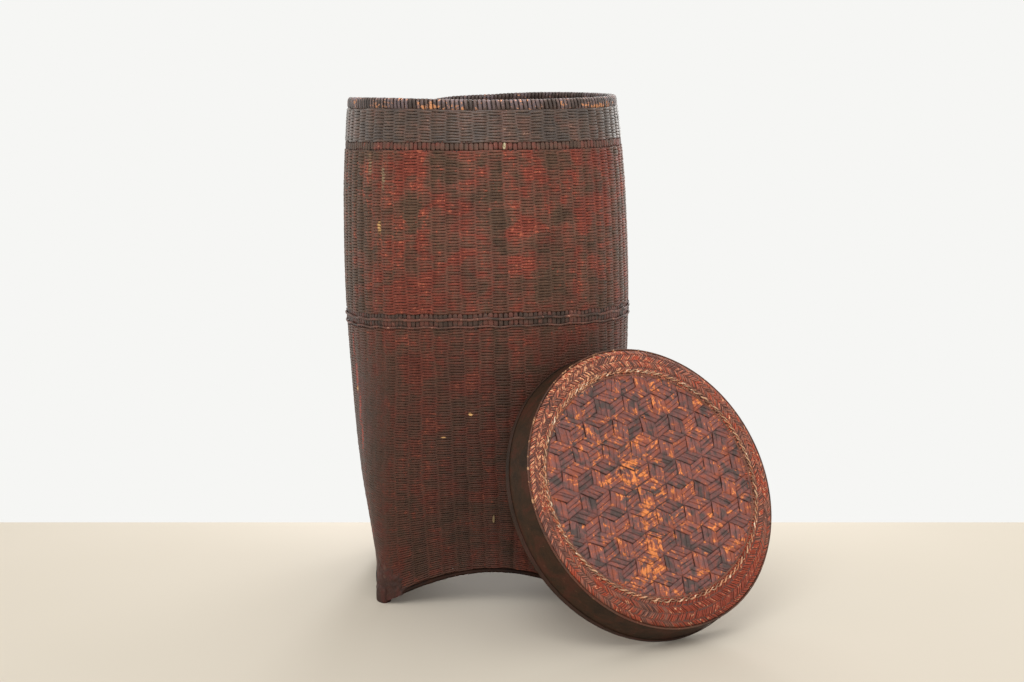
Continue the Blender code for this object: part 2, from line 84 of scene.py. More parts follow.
# The weave
STAKES = 62
SPLITS_IN_STAKE = 3
SPLIT_PITCH = 0.00484
ROW_PITCH = 0.001335
ROW_ZONES = (                          # name, first level, rows of each piece, finish
    ("lower", 0.0080, (69, 69, 69), "wall_weft"), ("upper", 0.2994, (58, 57), "wall_weft"),
    ("top", 0.4610, (22,), "top_weft"))
STRAND_HEIGHT = 0.00262
STRAND_THICKNESS = 0.0011
WEAVE_DEPTH = 0.00070
MERGE = 0.00001                        # points nearer than this become one
NEXT_GRAIN = 7.31                      # step in the fibres' noise from one strand to the next

# The lid and how it leans
LID_HEIGHT = 0.0381
LID_MOUTH_RADIUS = 0.1415
LID_TOP_RADIUS = 0.1376
LID_BAND_HEIGHT = 0.0332
LID_BAND = 0.0018
LID_ORIGIN = Vector((0.07637106, -0.09459774, 0.12387607))
LID_TURN = math.radians(33.7)
LID_LEAN = math.radians(28.7)
FACE_UNDERSIDE = 0.0347
RING_RADIUS = 0.1150
PANEL_RADIUS = 0.1107
RING_OVAL = (1.0435, 0.9757)           # the stitched ring is an oval, wider along the table
RING_SHIFT = (-0.0028, 0.0014)
ROUND_FROM = 0.1310                    # from this radius outwards the lid is round
BORDER_MARGIN = 0.12                   # radians past the turn, so that the form closes
BORDER_GIRTH = 2 * math.pi * 0.124     # half way over the border
BORDER_STEPS = 25
FINE = 192                             # facets round the lid

# The camera and the table's edge, fitted to the photograph
LENS = 61.74
SENSOR = 36
CAMERA_PLACE = (-0.040928, -1.733008, 0.559)
CAMERA_DOWN = 9.84026                  # degrees
TABLE_BACK_EDGE = 0.251
TABLE_REACH = 6


def lid_frame():
    """Where the lid leans: its axes along the table, up its slope and out of its face."""
    out = Vector((math.sin(LID_TURN) * math.cos(LID_LEAN),
                  -math.cos(LID_TURN) * math.cos(LID_LEAN), math.sin(LID_LEAN)))
    along = Vector((math.cos(LID_TURN), math.sin(LID_TURN), 0))
    made = Matrix((along, out.cross(along), out)).transposed().to_4x4()
    made.translation = LID_ORIGIN
    return made


# The form of the wall

def between(table, level):
    """Smooth reading of a table of (level, value) points."""
    if level <= table[0][0]:
        return table[0][1]
    if level >= table[-1][0]:
        return table[-1][1]
    i = max(k for k in range(len(table) - 1) if table[k][0] <= level)
    (x0, y0), (x1, y1) = table[i], table[i + 1]
    before = table[i - 1] if i else (2 * x0 - x1, 2 * y0 - y1)
    after = table[i + 2] if i + 2 < len(table) else (2 * x1 - x0, 2 * y1 - y0)
    slope0 = (y1 - before[1]) / (x1 - before[0])
    slope1 = (after[1] - y0) / (after[0] - x0)
    run = x1 - x0
    t = (level - x0) / run
    return ((2 * t**3 - 3 * t**2 + 1) * y0 + (t**3 - 2 * t**2 + t) * run * slope0
            + (3 * t**2 - 2 * t**3) * y1 + (t**3 - t**2) * run * slope1)


def clamp(value):
    return min(1.0, max(0.0, value))


def outline(angles, level):
    """Plan position of the wall's outer face at some angles."""
    half = between(HALF_WIDTHS, level)
    power = between(SQUARENESS, level)
    reach = (np.abs(np.cos(angles)) ** power + np.abs(np.sin(angles)) ** power) ** (-1 / power)
    oval = clamp((level - OVAL_FROM) / (BASKET_HEIGHT - OVAL_FROM))
    flat = 1 - (1 - MOUTH_DEPTH_RATIO) * oval
    return half * reach * np.cos(angles), half * reach * np.sin(angles) * flat


def arch_above(side):
    """Height of the arch at a distance from its middle, as shares of its own sizes."""
    return ARCH_HEIGHT * np.maximum(0, 1 - side ** ARCH_POWER)


def settle(x, y, level, angles):
    """Height of the wall's points after the rows have followed arches, tilt and sag."""
    arch = arch_above(np.minimum(np.abs(x), np.abs(y)) / ARCH_HALF_SPAN)
    height = level + arch * clamp(1 - level / ARCH_FADE) ** 2
    height = height + RING_TILT * math.sin(math.pi * clamp(level / TILT_REACH)) * x
    sag = ROW_SAG * math.sin(math.pi * clamp((BASKET_HEIGHT - level) / SAG_REACH))
    height = height - sag * np.cos(angles) ** 2
    loose = clamp((level - DIP_FROM) / (BASKET_HEIGHT - DIP_FROM)) ** 2
    for angle, spread, drop in RIM_DIPS:
        turn = (angles - angle + math.pi) % (2 * math.pi) - math.pi
        height = height - drop * np.exp(-(turn / spread) ** 2) * loose
    return height


def linked(name, data):
    """A new object in the scene."""
    made = bpy.data.objects.new(name, data)
    bpy.context.collection.objects.link(made)
    return made


class Form:
    """A curved face that flat work is laid on, and the length and height that it is flat."""

    def __init__(self, name, points, length, height):
        self.points, self.length, self.height = points, length, height
        out = np.cross(np.gradient(points, axis=0), np.gradient(points, axis=1))
        self.out = out / np.linalg.norm(out, axis=2, keepdims=True)
        columns, rows = points.shape[:2]
        index = np.arange(columns * rows).reshape(columns, rows)
        faces = np.stack((index[:-1, :-1], index[1:, :-1], index[1:, 1:], index[:-1, 1:]), -1)
        mesh = bpy.data.meshes.new(name)
        mesh.from_pydata(points.reshape(-1, 3).tolist(), [], faces.reshape(-1, 4).tolist())
        flat = np.meshgrid(np.linspace(0, 1, columns), np.linspace(0, 1, rows), [0.0], indexing="ij")
        for label, values in (("flat", np.stack(flat, -1)), ("outward", self.out)):
            layer = mesh.attributes.new(label, "FLOAT_VECTOR", "POINT")
            layer.data.foreach_set("vector", values.reshape(-1).astype(np.float32))
        self.object = linked(name, mesh)

    def at(self, x, level, out=0.0):
        """Point of the form by distance along it, height up it and distance out of it."""
        columns, rows = self.points.shape[:2]
        u = min(max((x / self.length + 0.5) * (columns - 1), 0), columns - 1.001)
        v = min(max(level / self.height * (rows - 1), 0), rows - 1.001)
        i, j = int(u), int(v)
        point, away = np.zeros(3), np.zeros(3)
        for a, b in ((i, j), (i + 1, j), (i, j + 1), (i + 1, j + 1)):
            weight = (1 - abs(u - a)) * (1 - abs(v - b))
            point += weight * self.points[a, b]
            away += weight * self.out[a, b]
        return Vector(point + away * out)


def wall_form():
    """The wall's outer face, with its columns an equal distance apart at every level."""
    shares = np.linspace(-0.5 - FORM_MARGIN, 0.5 + FORM_MARGIN, FORM_COLUMNS)
    levels = np.linspace(0, FORM_TOP, FORM_ROWS)
    points = np.empty((FORM_COLUMNS, FORM_ROWS, 3))
    angles = np.linspace(-1.5 * math.pi - 0.5, 0.5 * math.pi + 0.5, 2401)
    for j, level in enumerate(levels):
        x, y = outline(angles, level)
        run = np.concatenate(([0], np.cumsum(np.hypot(np.diff(x), np.diff(y)))))
        run -= np.interp(-math.pi / 2, angles, run)
        whole = np.interp(math.pi / 2, angles, run) - np.interp(-1.5 * math.pi, angles, run)
        at = np.interp(shares * whole, run, angles)
        x, y = outline(at, level)
        points[:, j] = np.stack((x + LEAN_AT_FOOT + LEAN_SLOPE * level + AXIS[0],
                                 y + AXIS[1], settle(x, y, level, at)), -1)
    return Form("wall_form", points, FORM_LENGTH, FORM_TOP)


# Node trees

class Field:
    """A value in a node tree that can be reckoned with like a plain number."""

    def __init__(self, tree, socket):
        self.tree, self.socket = tree, socket

    def math(self, operation, *others):
        made = self.tree.nodes.new("ShaderNodeMath")
        made.operation = operation
        for slot, item in zip(made.inputs, (self, *others)):
            feed(self.tree, slot, item)
        return Field(self.tree, made.outputs[0])

    __add__ = __radd__ = partialmethod(math, "ADD")
    __sub__ = partialmethod(math, "SUBTRACT")
    __mul__ = __rmul__ = partialmethod(math, "MULTIPLY")
    __truediv__ = partialmethod(math, "DIVIDE")
    sin = partialmethod(math, "SINE")
    cos = partialmethod(math, "COSINE")
    abs = partialmethod(math, "ABSOLUTE")
    sqrt = partialmethod(math, "SQRT")
    floor = partialmethod(math, "FLOOR")
    power = partialmethod(math, "POWER")
    modulo = partialmethod(math, "MODULO")
    most = partialmethod(math, "MAXIMUM")
    least = partialmethod(math, "MINIMUM")

    def __rsub__(self, other):
        return self * -1.0 + other

    def __rtruediv__(self, other):
        return self.power(-1.0) * other

    def smooth(self, low, high):
        """0 below low, 1 above high, and a soft step between them."""
        return step(self.tree, "ShaderNodeMapRange", {
            "Value": self, "From Min": low, "From Max": high}, interpolation_type="SMOOTHSTEP")


def feed(tree, slot, item):
    """Link or set one input."""
    if isinstance(item, Field):
        item = item.socket
    if isinstance(item, bpy.types.NodeSocket):
        tree.links.new(item, slot)
    else:
        slot.default_value = item


def shown(sockets, name=None):
    """The first socket in use, or the one in use with that name."""
    return next(s for s in sockets if s.enabled and name in (None, s.name))


def node(tree, kind, inputs=None, **settings):
    """A new node with its settings and its inputs."""
    made = tree.nodes.new(kind)
    for name, value in settings.items():
        setattr(made, name, value)
    for name, item in (inputs or {}).items():
        feed(tree, shown(made.inputs, name), item)
    return made


def step(tree, kind, inputs=None, **settings):
    """The first output of a new node."""
    return Field(tree, shown(node(tree, kind, inputs, **settings).outputs))


def vector_math(tree, operation, *items):
    """The result of a vector operation on these values in order."""
    made = node(tree, "ShaderNodeVectorMath", operation=operation)
    for slot, item in zip([s for s in made.inputs if s.enabled], items):
        feed(tree, slot, item)
    return Field(tree, shown(made.outputs))


def titled(name):
    """The label of a socket that is called like this in the script."""
    return name.replace("_", " ").title()


def by_name(tree, sockets):
    """Sockets as fields under the names that the script has for them."""
    return SimpleNamespace(**{s.name.lower().replace(" ", "_"): Field(tree, s) for s in sockets if s.name})


def group(name, kind, inputs, outputs):
    """A node group, its inputs as fields, and a function that feeds its outputs.

    Inputs and outputs are named in a row, each a number unless its kind follows a colon.
    """
    tree = bpy.data.node_groups.new(name, kind)
    for way, names in (("INPUT", inputs), ("OUTPUT", outputs)):
        for item in names.split():
            label, _, socket = item.partition(":")
            tree.interface.new_socket(titled(label), in_out=way,
                                      socket_type="NodeSocket" + (socket or "Float"))
    enter, leave = tree.nodes.new("NodeGroupInput"), tree.nodes.new("NodeGroupOutput")

    def give(**results):
        for label, result in results.items():
            feed(tree, leave.inputs[titled(label)], result)
        return tree

    return tree, by_name(tree, enter.outputs), give


def parts(tree, whole):
    """The x, y and z of a vector."""
    made = node(tree, "ShaderNodeSeparateXYZ", {"Vector": whole})
    return [Field(tree, socket) for socket in made.outputs]


def vector(tree, x, y, z):
    return step(tree, "ShaderNodeCombineXYZ", {"X": x, "Y": y, "Z": z})


def cloud(tree, where, scale, detail=2.0, roughness=0.5, distortion=0.0):
    """Soft noise, about 0.5 on the whole."""
    return step(tree, "ShaderNodeTexNoise", {
        "Vector": where, "Scale": scale, "Detail": detail, "Roughness": roughness, "Distortion": distortion})


def kept(tree, name):
    """The three values kept on a mesh under a name, for Geometry Nodes."""
    return step(tree, "GeometryNodeInputNamedAttribute", {"Name": name}, data_type="FLOAT_VECTOR")


def lay_on_form():
    """Bends flat work on to a form: x runs along it, z up it, and -y stands out of it."""
    tree, given, give = group("Lay on form", "GeometryNodeTree", "work:Geometry form:Object length height",
                              "geometry:Geometry")
    form = node(tree, "GeometryNodeObjectInfo", {"Object": given.form}).outputs["Geometry"]
    position = step(tree, "GeometryNodeInputPosition")
    x, y, z = parts(tree, position)
    seat = vector(tree, x / given.length + 0.5, z / given.height, 0.0)
    point, away = (step(tree, "GeometryNodeSampleUVSurface", {
        "Mesh": form, "Value": value, "UV Map": kept(tree, "flat"), "Sample UV": seat},
        data_type="FLOAT_VECTOR") for value in (position, kept(tree, "outward")))
    laid = vector_math(tree, "ADD", point, vector_math(tree, "SCALE", away, y * -1.0))
    bent = step(tree, "GeometryNodeSetPosition", {"Geometry": given.work, "Position": laid})
    return give(geometry=step(tree, "GeometryNodeMergeByDistance", {"Geometry": bent, "Distance": MERGE}))


LAID = "form:Object length height girth "


class Work:
    """A Geometry Nodes tree that makes many copies of one rod, shapes each and lays them."""

    def __init__(self, name, sizes):
        self.tree, self.size, self.give = group(
            name, "GeometryNodeTree", "geometry:Geometry finish:Material seed:Int " + sizes,
            "geometry:Geometry")

    def rods(self, count, stations, around=5):
        """Copies of a sheet of stations by turns; gives the pieces, run, turn and number."""
        sheet = step(self.tree, "GeometryNodeMeshGrid", {
            "Size X": 1.0, "Size Y": 1.0, "Vertices X": stations, "Vertices Y": around})
        line = step(self.tree, "GeometryNodeMeshLine", {"Count": count, "Offset": (0, 0, 1)})
        many = step(self.tree, "GeometryNodeInstanceOnPoints", {"Points": line, "Instance": sheet})
        self.made = step(self.tree, "GeometryNodeRealizeInstances", {"Geometry": many})
        run, turn, number = parts(self.tree, step(self.tree, "GeometryNodeInputPosition"))
        return run, (turn + 0.5) * (2 * math.pi), number.math("ROUND")

    def then(self, kind, inputs=None, **settings):
        """The next node that the geometry passes through."""
        self.made = step(self.tree, kind, {"Geometry": self.made, **(inputs or {})}, **settings)

    def drift(self, share, reach, along, scale=1.0, detail=2.0):
        """Soft noise round a ring, the same where the ring closes."""
        angle = share * (2 * math.pi)
        where = vector(self.tree, angle.cos() * reach, angle.sin() * reach, along)
        return cloud(self.tree, where, scale, detail)

    def chance(self, number, low=0.0, high=1.0, extra=0):
        """A fixed random number for each number."""
        return step(self.tree, "FunctionNodeRandomValue", {
            "Min": low, "Max": high, "ID": number, "Seed": self.size.seed + float(extra)}, data_type="FLOAT")

    def mark(self, name, *values):
        """Keep three values on the mesh for its finish to read."""
        self.then("GeometryNodeStoreNamedAttribute", {"Name": name, "Value": vector(self.tree, *values)},
                  data_type="FLOAT_VECTOR")

    def grain(self, along, across, number):
        """Keep the way of the fibres on the mesh."""
        self.mark("grain", along, across, number * NEXT_GRAIN)

    def lay(self, laying, x, out, level):
        """Shape the work flat, bend it on to its form and end."""
        self.then("GeometryNodeSetPosition", {"Position": vector(self.tree, x, out * -1.0, level)})
        self.made = step(self.tree, "GeometryNodeGroup", {
            "Work": self.made, "Form": self.size.form, "Length": self.size.length,
            "Height": self.size.height}, node_tree=laying)
        return self.end()

    def stand(self, x, y, w):
        """Shape the work where it is and end."""
        self.then("GeometryNodeSetPosition", {"Position": vector(self.tree, x, y, w)})
        self.then("GeometryNodeMergeByDistance", {"Distance": MERGE})
        return self.end()

    def end(self):
        self.then("GeometryNodeSetShadeSmooth")
        self.then("GeometryNodeRealizeInstances")
        self.then("GeometryNodeSetMaterial", {"Material": self.size.finish})
        return self.give(geometry=self.made)


def swing_of(wave):
    """Over and under: -1 to 1 with flat crowns and steep crossings."""
    return wave * 1.07 / (wave * wave + 0.145).sqrt()


def flattened(turn, flat=0.32):
    """Across a strand's section, 1 to -1, with a broad flat face."""
    across = turn.cos()
    return across * (1.0 + flat - across * across * flat)


def edge_of(turn):
    """0 on a strand's flat face and 1 at its two edges."""
    return (turn.cos().abs() * 2.0 - 1.0).most(0.0)


def weft_rows(laying):
    """Rings of flat strand, each over one stake and under the next."""
    work = Work("Weft rows", LAID + "columns:Int rows:Int first_row:Int first_level row_pitch strand_height "
                "strand_thickness weave_depth depth_in_wall waviness sway pinch filled filled_share "
                "column_shift")
    size = work.size
    columns, waviness = size.columns, size.waviness
    run, turn, step_up = work.rods(size.rows, columns * 3.0 + 1.0, 7)
    row = step_up + size.first_row
    column = run * columns + 0.5
    bar = column.floor()
    number = bar + row * 977.0
    wave = ((column + row) * math.pi).sin()
    drift = work.drift(run, columns * 0.16, row * 0.37 + size.seed) - 0.5
    shift = (work.drift(run, columns * 0.16, row * 0.06 + size.seed + 40.0, 1.7) * 0.6
             + work.drift(run, columns * 0.30, size.seed + row * 0.02) - 0.8)
    height = size.strand_height * (1.0 - size.pinch + size.pinch * wave.abs().power(0.7))
    middle = size.first_level + step_up * size.row_pitch
    # lacquer has filled the weave beside each corner, the more so lower down
    filled = (((run + size.filled_share) * (4.0 * math.pi)).sin().abs().smooth(0.72, 0.95)
              * (1.0 - middle.smooth(0.22, 0.34))) * size.filled
    level = (middle + height / 2.0 * flattened(turn) + drift * waviness * 2.0
             + (column * math.pi).sin() * size.sway
             + work.chance(bar.modulo(columns), -1.0, 1.0, extra=2) * size.column_shift)
    out = (swing_of(wave) * size.weave_depth * (1.0 - filled * 0.75) - size.depth_in_wall
           + filled * size.weave_depth * 0.6 - size.strand_thickness / 2.0 * turn.sin()
           + drift * waviness * 0.8 + work.chance(number, -0.00010, 0.00010, extra=1) * wave.abs())
    area = work.drift(run, columns * 0.10, row * 0.07 + size.seed + 80.0, 1.0, 4.0)
    tint = ((area - 0.5) * 2.0 + 0.5 + work.chance(number, -0.24, 0.24)
            + work.chance(bar.modulo(columns), -0.26, 0.26, extra=6))
    # Marks for painted shade where a strand dives at a crossing and along its edges, weaker where lacquer
    # fills the weave
    work.mark("weave", tint * (1.0 - filled) + filled * 0.5, (1.0 - wave.abs()) * (1.0 - filled),
              edge_of(turn) * (1.0 - filled * 0.75))
    work.mark("filled", filled, run * size.girth, middle)
    work.grain(run * columns * 2.0, turn.cos() * 0.6, row)
    return work.lay(laying, run * size.girth + shift * waviness * 9.0, out, level)


def stake_splits(laying):
    """Upright stakes, each of a few splits side by side."""
    work = Work("Stake splits", LAID + "stakes:Int splits:Int stations:Int around:Int split_width "
                "split_pitch thickness low high depth_in_wall bulge blunt uneven")
    size = work.size
    run, turn, number = work.rods(size.stakes * size.splits, size.stations, size.around)
    stake = (number / size.splits + 0.001).floor()
    split = number - stake * size.splits - (size.splits - 1.0) / 2.0
    taper = 1.0 - (run.abs() * 2.0).power(size.blunt)
    width = size.split_width * (work.chance(number, 0.85, 1.05)
                                - size.uneven * 90.0 * work.chance(number, extra=3)) * taper
    x = ((stake / size.stakes - 0.5) * size.girth + split * size.split_pitch
         + width / 2.0 * flattened(turn))
    swell = size.bulge * (1.0 - run * run * 4.0) * work.chance(number, 0.3, 1.3, extra=1)
    out = swell - size.depth_in_wall + size.thickness / 2.0 * taper * turn.sin()
    level = (size.low + (size.high - size.low) * (run + 0.5)
             + work.chance(number, -1.0, 1.0, extra=2) * size.uneven)
    area = work.drift(stake / size.stakes, 5.6, size.seed, 1.0, 4.0)
    # Marks for painted shade along each split's edges
    work.mark("weave", (area - 0.5) * 2.4 + 0.5 + work.chance(number, -0.3, 0.3), 0.0, edge_of(turn))
    work.grain(turn.cos() * 0.9, run * 1.6, number)
    return work.lay(laying, x, out, level)


def rim_wraps(laying):
    """The close binding: one flat loop after another round the rim's section."""
    work = Work("Rim wraps", LAID + "wraps:Int wrap_width wrap_thickness slant half_depth half_height "
                "middle_depth middle_level squareness")
    size = work.size
    run, turn, number = work.rods(size.wraps, 21, 7)
    around = (run + 0.5) * (2 * math.pi)
    across, up = around.cos(), around.sin()
    square = size.squareness
    reach = (across.abs().power(square) + up.abs().power(square)).power(-1.0 / square)
    proud = size.wrap_thickness * (turn.sin() * 0.5 - 0.5) + work.chance(number, -0.00012, 0.00012, extra=1)
    out = across * reach * (size.half_depth + proud) - size.middle_depth
    level = up * reach * (size.half_height + proud) + size.middle_level
    width = size.wrap_width * work.chance(number, 0.86, 1.04, extra=2)
    x = ((number / size.wraps - 0.5) * size.girth + width / 2.0 * turn.cos()
         + size.slant * up * work.chance(number, 0.6, 1.3, extra=3))
    area = work.drift(number / size.wraps, 7.0, size.seed, 1.0, 2.0)
    # Painted light on the wraps: the second mark is their top outer edge, which the rim's finish paints as a
    # highlight; the third paints shade along each wrap's edges, more on its outer face
    work.mark("weave", (area - 0.5) * 3.0 + 0.5 + work.chance(number, -0.3, 0.3),
              up.smooth(0.45, 0.75) * across.smooth(0.2, 0.6),
              edge_of(turn) * (0.45 + 0.55 * across.smooth(-0.6, 0.2)))
    work.grain(turn.cos() * 0.8, run * 9.0, number)
    return work.lay(laying, x, out, level)


def twined_stitch():
    """Two strands twined round each other along a ring."""
    work = Work("Twined stitch", "ring_radius level half_twists:Int spread rise strand_width "
                "strand_thickness")
    size = work.size
    run, turn, number = work.rods(2, size.half_twists * 6.0 + 1.0, 7)
    angle = run * (2 * math.pi)
    twist = (run * size.half_twists + number) * math.pi
    stitch = (run * size.half_twists + 0.5).floor() + number * 500.0
    sway, lift = twist.sin(), twist.cos()
    wander = work.drift(run, 8.0, size.seed, 3.0) - 0.5
    width = size.strand_width * (0.64 + 0.36 * lift) * work.chance(stitch, 0.65, 1.25, extra=1)
    radius = size.ring_radius + sway * size.spread + wander * 0.0020 + width / 2.0 * flattened(turn)
    w = size.level + lift * size.rise - size.strand_thickness / 2.0 * turn.sin()
    # Marks for painted shade where one strand passes under the other, and along its edges
    work.mark("weave", work.chance(stitch), 0.5 - lift * 0.5, edge_of(turn))
    work.grain(run * size.half_twists * 1.2, turn.cos(), number)
    return work.stand(angle.cos() * radius * -1.0, angle.sin() * radius, w)


def herringbone(laying):
    """Bands of slanting floats, turned about from one band to the next."""
    work = Work("Herringbone", LAID + "bands:Int floats:Int band_height float_width float_thickness "
                "lean overlap")
    size = work.size
    run, turn, number = work.rods(size.bands * size.floats, 6, 7)
    band = (number / size.floats + 0.0001).floor()
    way = band.modulo(2.0) * 2.0 - 1.0
    ends = 1.0 - (run.abs() * 2.0).power(5.0)
    width = size.float_width * work.chance(number, 0.75, 1.1) * (ends * 0.65 + 0.35)
    share = (number - band * size.floats + band * 0.37
             + work.chance(number, -0.2, 0.2, extra=4)) / size.floats - 0.5
    x = share * size.girth + run * size.lean * way + width / 2.0 * flattened(turn)
    level = ((band + 0.5 + run * size.overlap) * size.band_height
             + work.chance(number, -0.0005, 0.0005, extra=5))
    out = (size.float_thickness / 2.0 * turn.sin() * (ends * 0.8 + 0.2)
           - size.float_thickness * 1.1 * (1.0 - ends) + work.chance(number, -0.00012, 0.00016, extra=2))
    # Marks for painted shade where a float's ends dive under, and along its edges
    work.mark("weave", work.chance(number, extra=3), 1.0 - ends, edge_of(turn))
    work.grain(run * 2.0, turn.cos() * 1.2, number)
    return work.lay(laying, x, out, level)


def three_way_weave():
    """Patches of split in three directions over a slanted lattice: the tumbling-block weave."""
    work = Work("Three-way weave", "first_edge:Vector second_edge:Vector origin:Vector cells:Int "
                "panel_radius level split_thickness dive")
    size = work.size
    (px, py, _), (qx, qy, _), (ox, oy, _) = (
        parts(work.tree, given) for given in (size.first_edge, size.second_edge, size.origin))
    rx, ry = (px + qx) * -1.0, (py + qy) * -1.0
    side = size.cells * 2.0 + 1.0
    run, turn, number = work.rods(side * side * 9.0, 8, 7)
    part = number.modulo(3.0)
    patch = (number / 3.0 + 0.001).floor()
    face = patch.modulo(3.0)
    cell = (number / 9.0 + 0.001).floor()
    line = (cell / side + 0.0001).floor()
    column = cell - line * side - size.cells
    row = line - size.cells
    # the two lattice steps are first - second edge, and first - third edge
    mx = ox + column * (px - qx) + row * (px - rx)
    my = oy + column * (py - qy) + row * (py - ry)
    right = face.smooth(1.4, 1.6)
    top = face.smooth(0.4, 0.6) * (1.0 - right)
    left = 1.0 - top - right
    # the way the split runs, and the way across it
    ax, ay = left * rx + top * qx + right * px, left * ry + top * qy + right * py
    bx, by = left * qx + top * px + right * rx, left * qy + top * py + right * ry
    first_cut = work.chance(patch, 0.24, 0.44, extra=5)
    second_cut = work.chance(patch, 0.56, 0.76, extra=12)
    last = part.smooth(1.4, 1.6)
    middle = part.smooth(0.4, 0.6) - last
    first = 1.0 - middle - last
    gap = work.chance(patch, 0.003, 0.018, extra=6)
    low = middle * first_cut + last * second_cut + 0.002 + first * gap
    high = first * first_cut + middle * second_cut + last - 0.002 - last * gap
    across = low + (high - low) * (0.5 - 0.5 * flattened(turn, 0.85))
    along = 0.5 + run * 1.12
    skew = work.chance(patch, -0.10, 0.10, extra=10) * (along - 0.5)
    x = mx + ax * along + bx * (across + skew)
    y = my + ay * along + by * (across + skew)
    pull = (size.panel_radius / (x * x + y * y).sqrt()).least(1.0)
    ends = 1.0 - (run.abs() * 2.0).power(9.0)
    crown = turn.sin() * size.split_thickness * 0.5 * (0.25 + 0.75 * ends)
    tilt = work.chance(number, -0.00035, 0.00035, extra=7)
    w = (size.level + crown - size.dive * (1.0 - ends) + tilt * run * 2.0
         + work.chance(patch, -0.00022, 0.00022, extra=8) + part * 0.00004)
    # Marks for painted shade: strong along a patch's outer edges, faint between its own splits, and where a
    # split dives under its neighbours
    side_of = turn.cos()
    outer = (side_of * first).most(side_of * last * -1.0).most(side_of.abs() * 0.72)
    work.mark("weave", work.chance(patch, 0.2, 0.8, extra=9) + work.chance(number, -0.2, 0.2, extra=11),
              1.0 - ends, (outer * 2.0 - 1.0).most(0.0))
    work.grain(run * 3.2, turn.cos() * 2.2, number)
    work.mark("middle", mx + ax * 0.5 + bx * 0.5, my + ay * 0.5 + by * 0.5, part)
    mid_x, mid_y, _ = parts(work.tree, kept(work.tree, "middle"))
    far_out = (mid_x * mid_x + mid_y * mid_y).sqrt().math("GREATER_THAN", size.panel_radius + 0.007)
    work.then("GeometryNodeDeleteGeometry", {"Selection": far_out})
    return work.stand(x * pull, y * pull, w)


def plain_weave():
    """A flat floor of splits, over one and under one, cut to an outline."""
    work = Work("Plain weave", "splits:Int half_width squareness split_width split_thickness "
                "weave_depth level")
    size = work.size
    splits, square = size.splits, size.squareness
    run, turn, number = work.rods(splits * 2.0, splits * 3.0 + 1.0)
    way = (number / splits + 0.0001).floor()
    number_in_way = number - way * splits
    offset = (number_in_way + 0.5) / splits * 2.0 - 1.0
    near = run * 2.0 * (1.0 - offset.abs().power(square)).power(1.0 / square)
    wave = ((near * 0.5 * splits + number_in_way + way) * math.pi).sin()
    ends = 1.0 - (run.abs() * 2.0).power(60.0)
    wide = size.split_width / 2.0 * ends * turn.cos()
    far = near * size.half_width
    aside = offset * size.half_width + wide * (1.0 - way * 2.0)
    w = size.level + swing_of(wave) * size.weave_depth - size.split_thickness / 2.0 * ends * turn.sin()
    # Marks for painted shade at crossings and along each split's edges
    work.mark("weave", work.chance(number), 1.0 - wave.abs(), turn.cos().abs())
    work.grain(near * splits * 0.4, turn.cos() * 1.5, number)
    return work.stand(far * (1.0 - way) + aside * way, aside * (1.0 - way) + far * way, w)


def grow(name, tree, finish, **sizes):
    """A plain mesh object of what a tree makes with these sizes."""
    made = linked(name, bpy.data.meshes.new(name))
    modifier = made.modifiers.new(tree.name, "NODES")
    modifier.node_group = tree
    inputs = {item.name: item.identifier for item in tree.interface.items_tree if item.in_out == "INPUT"}
    for label, value in {"finish": FINISHES[finish], **sizes}.items():
        modifier[inputs[titled(label)]] = value
    depsgraph = bpy.context.evaluated_depsgraph_get()
    mesh = bpy.data.meshes.new_from_object(made.evaluated_get(depsgraph), depsgraph=depsgraph,
                                           preserve_all_data_layers=True)
    made.modifiers.clear()
    made.data = mesh
    mesh.name = name
    return made


# Other meshes

def loft(name, loops, finish, ring=False):
    """Closed solid through loops of points; a ring joins its last loop to its first."""
    count = len(loops[0])
    vertices = [tuple(point) for loop in loops for point in loop]
    faces = []
    for i in range(len(loops) if ring else len(loops) - 1):
        here, there = i * count, (i + 1) % len(loops) * count
        faces += [(here + j, here + (j + 1) % count, there + (j + 1) % count, there + j)
                  for j in range(count)]
    if not ring:
        faces += [tuple(range(count)), tuple(reversed(range(len(vertices) - count, len(vertices))))]
    mesh = bpy.data.meshes.new(name)
    mesh.from_pydata(vertices, [], faces)
    bm = bmesh.new()
    bm.from_mesh(mesh)
    bmesh.ops.recalc_face_normals(bm, faces=bm.faces)
    bm.to_mesh(mesh)
    bm.free()
    mesh.shade_smooth()
    mesh.set_sharp_from_angle(angle=math.radians(55))
    mesh.materials.append(FINISHES[finish])
    return linked(name, mesh)


def unrippled(_, radius, w):
    """The ripple of a ring that is truly round."""
    return radius, w


def turned(name, section, finish, ripple=unrippled):
    """A ring of the lid from a closed section of (radius, w) points."""
    loops = []
    for k in range(FINE):
        angle = 2 * math.pi * k / FINE
        rippled = [ripple(angle, radius, w) for radius, w in section]
        loops.append([(radius * math.cos(angle), radius * math.sin(angle), w) for radius, w in rippled])
    return loft(name, loops, finish, ring=True)


def disc(name, rings, finish):
    """A round plate from rings of (radius, w), from the middle of one face to the other's."""
    angles = [2 * math.pi * k / FINE for k in range(FINE)]
    return loft(name, [[(radius * math.cos(angle), radius * math.sin(angle), w) for angle in angles]
                       for radius, w in rings], finish)


def ellipse(sides, across, thick, square=2.0):
    """Points round a section, as (across, out) pairs."""
    made = []
    for k in range(sides):
        turn = 2 * math.pi * k / sides
        c, s = math.cos(turn), math.sin(turn)
        reach = (abs(c) ** square + abs(s) ** square) ** (-1 / square)
        made.append((across * c * reach, thick * s * reach))
    return made


def crumple(x, level, size, amount, seed):
    """Folds of thick old lacquer."""
    at = Vector((x / size, level / size, seed))
    folds = 1 - abs(noise.noise(at)) * 2
    return amount * (0.6 * folds + 0.4 * noise.noise(at * 2.7))


# Finishes

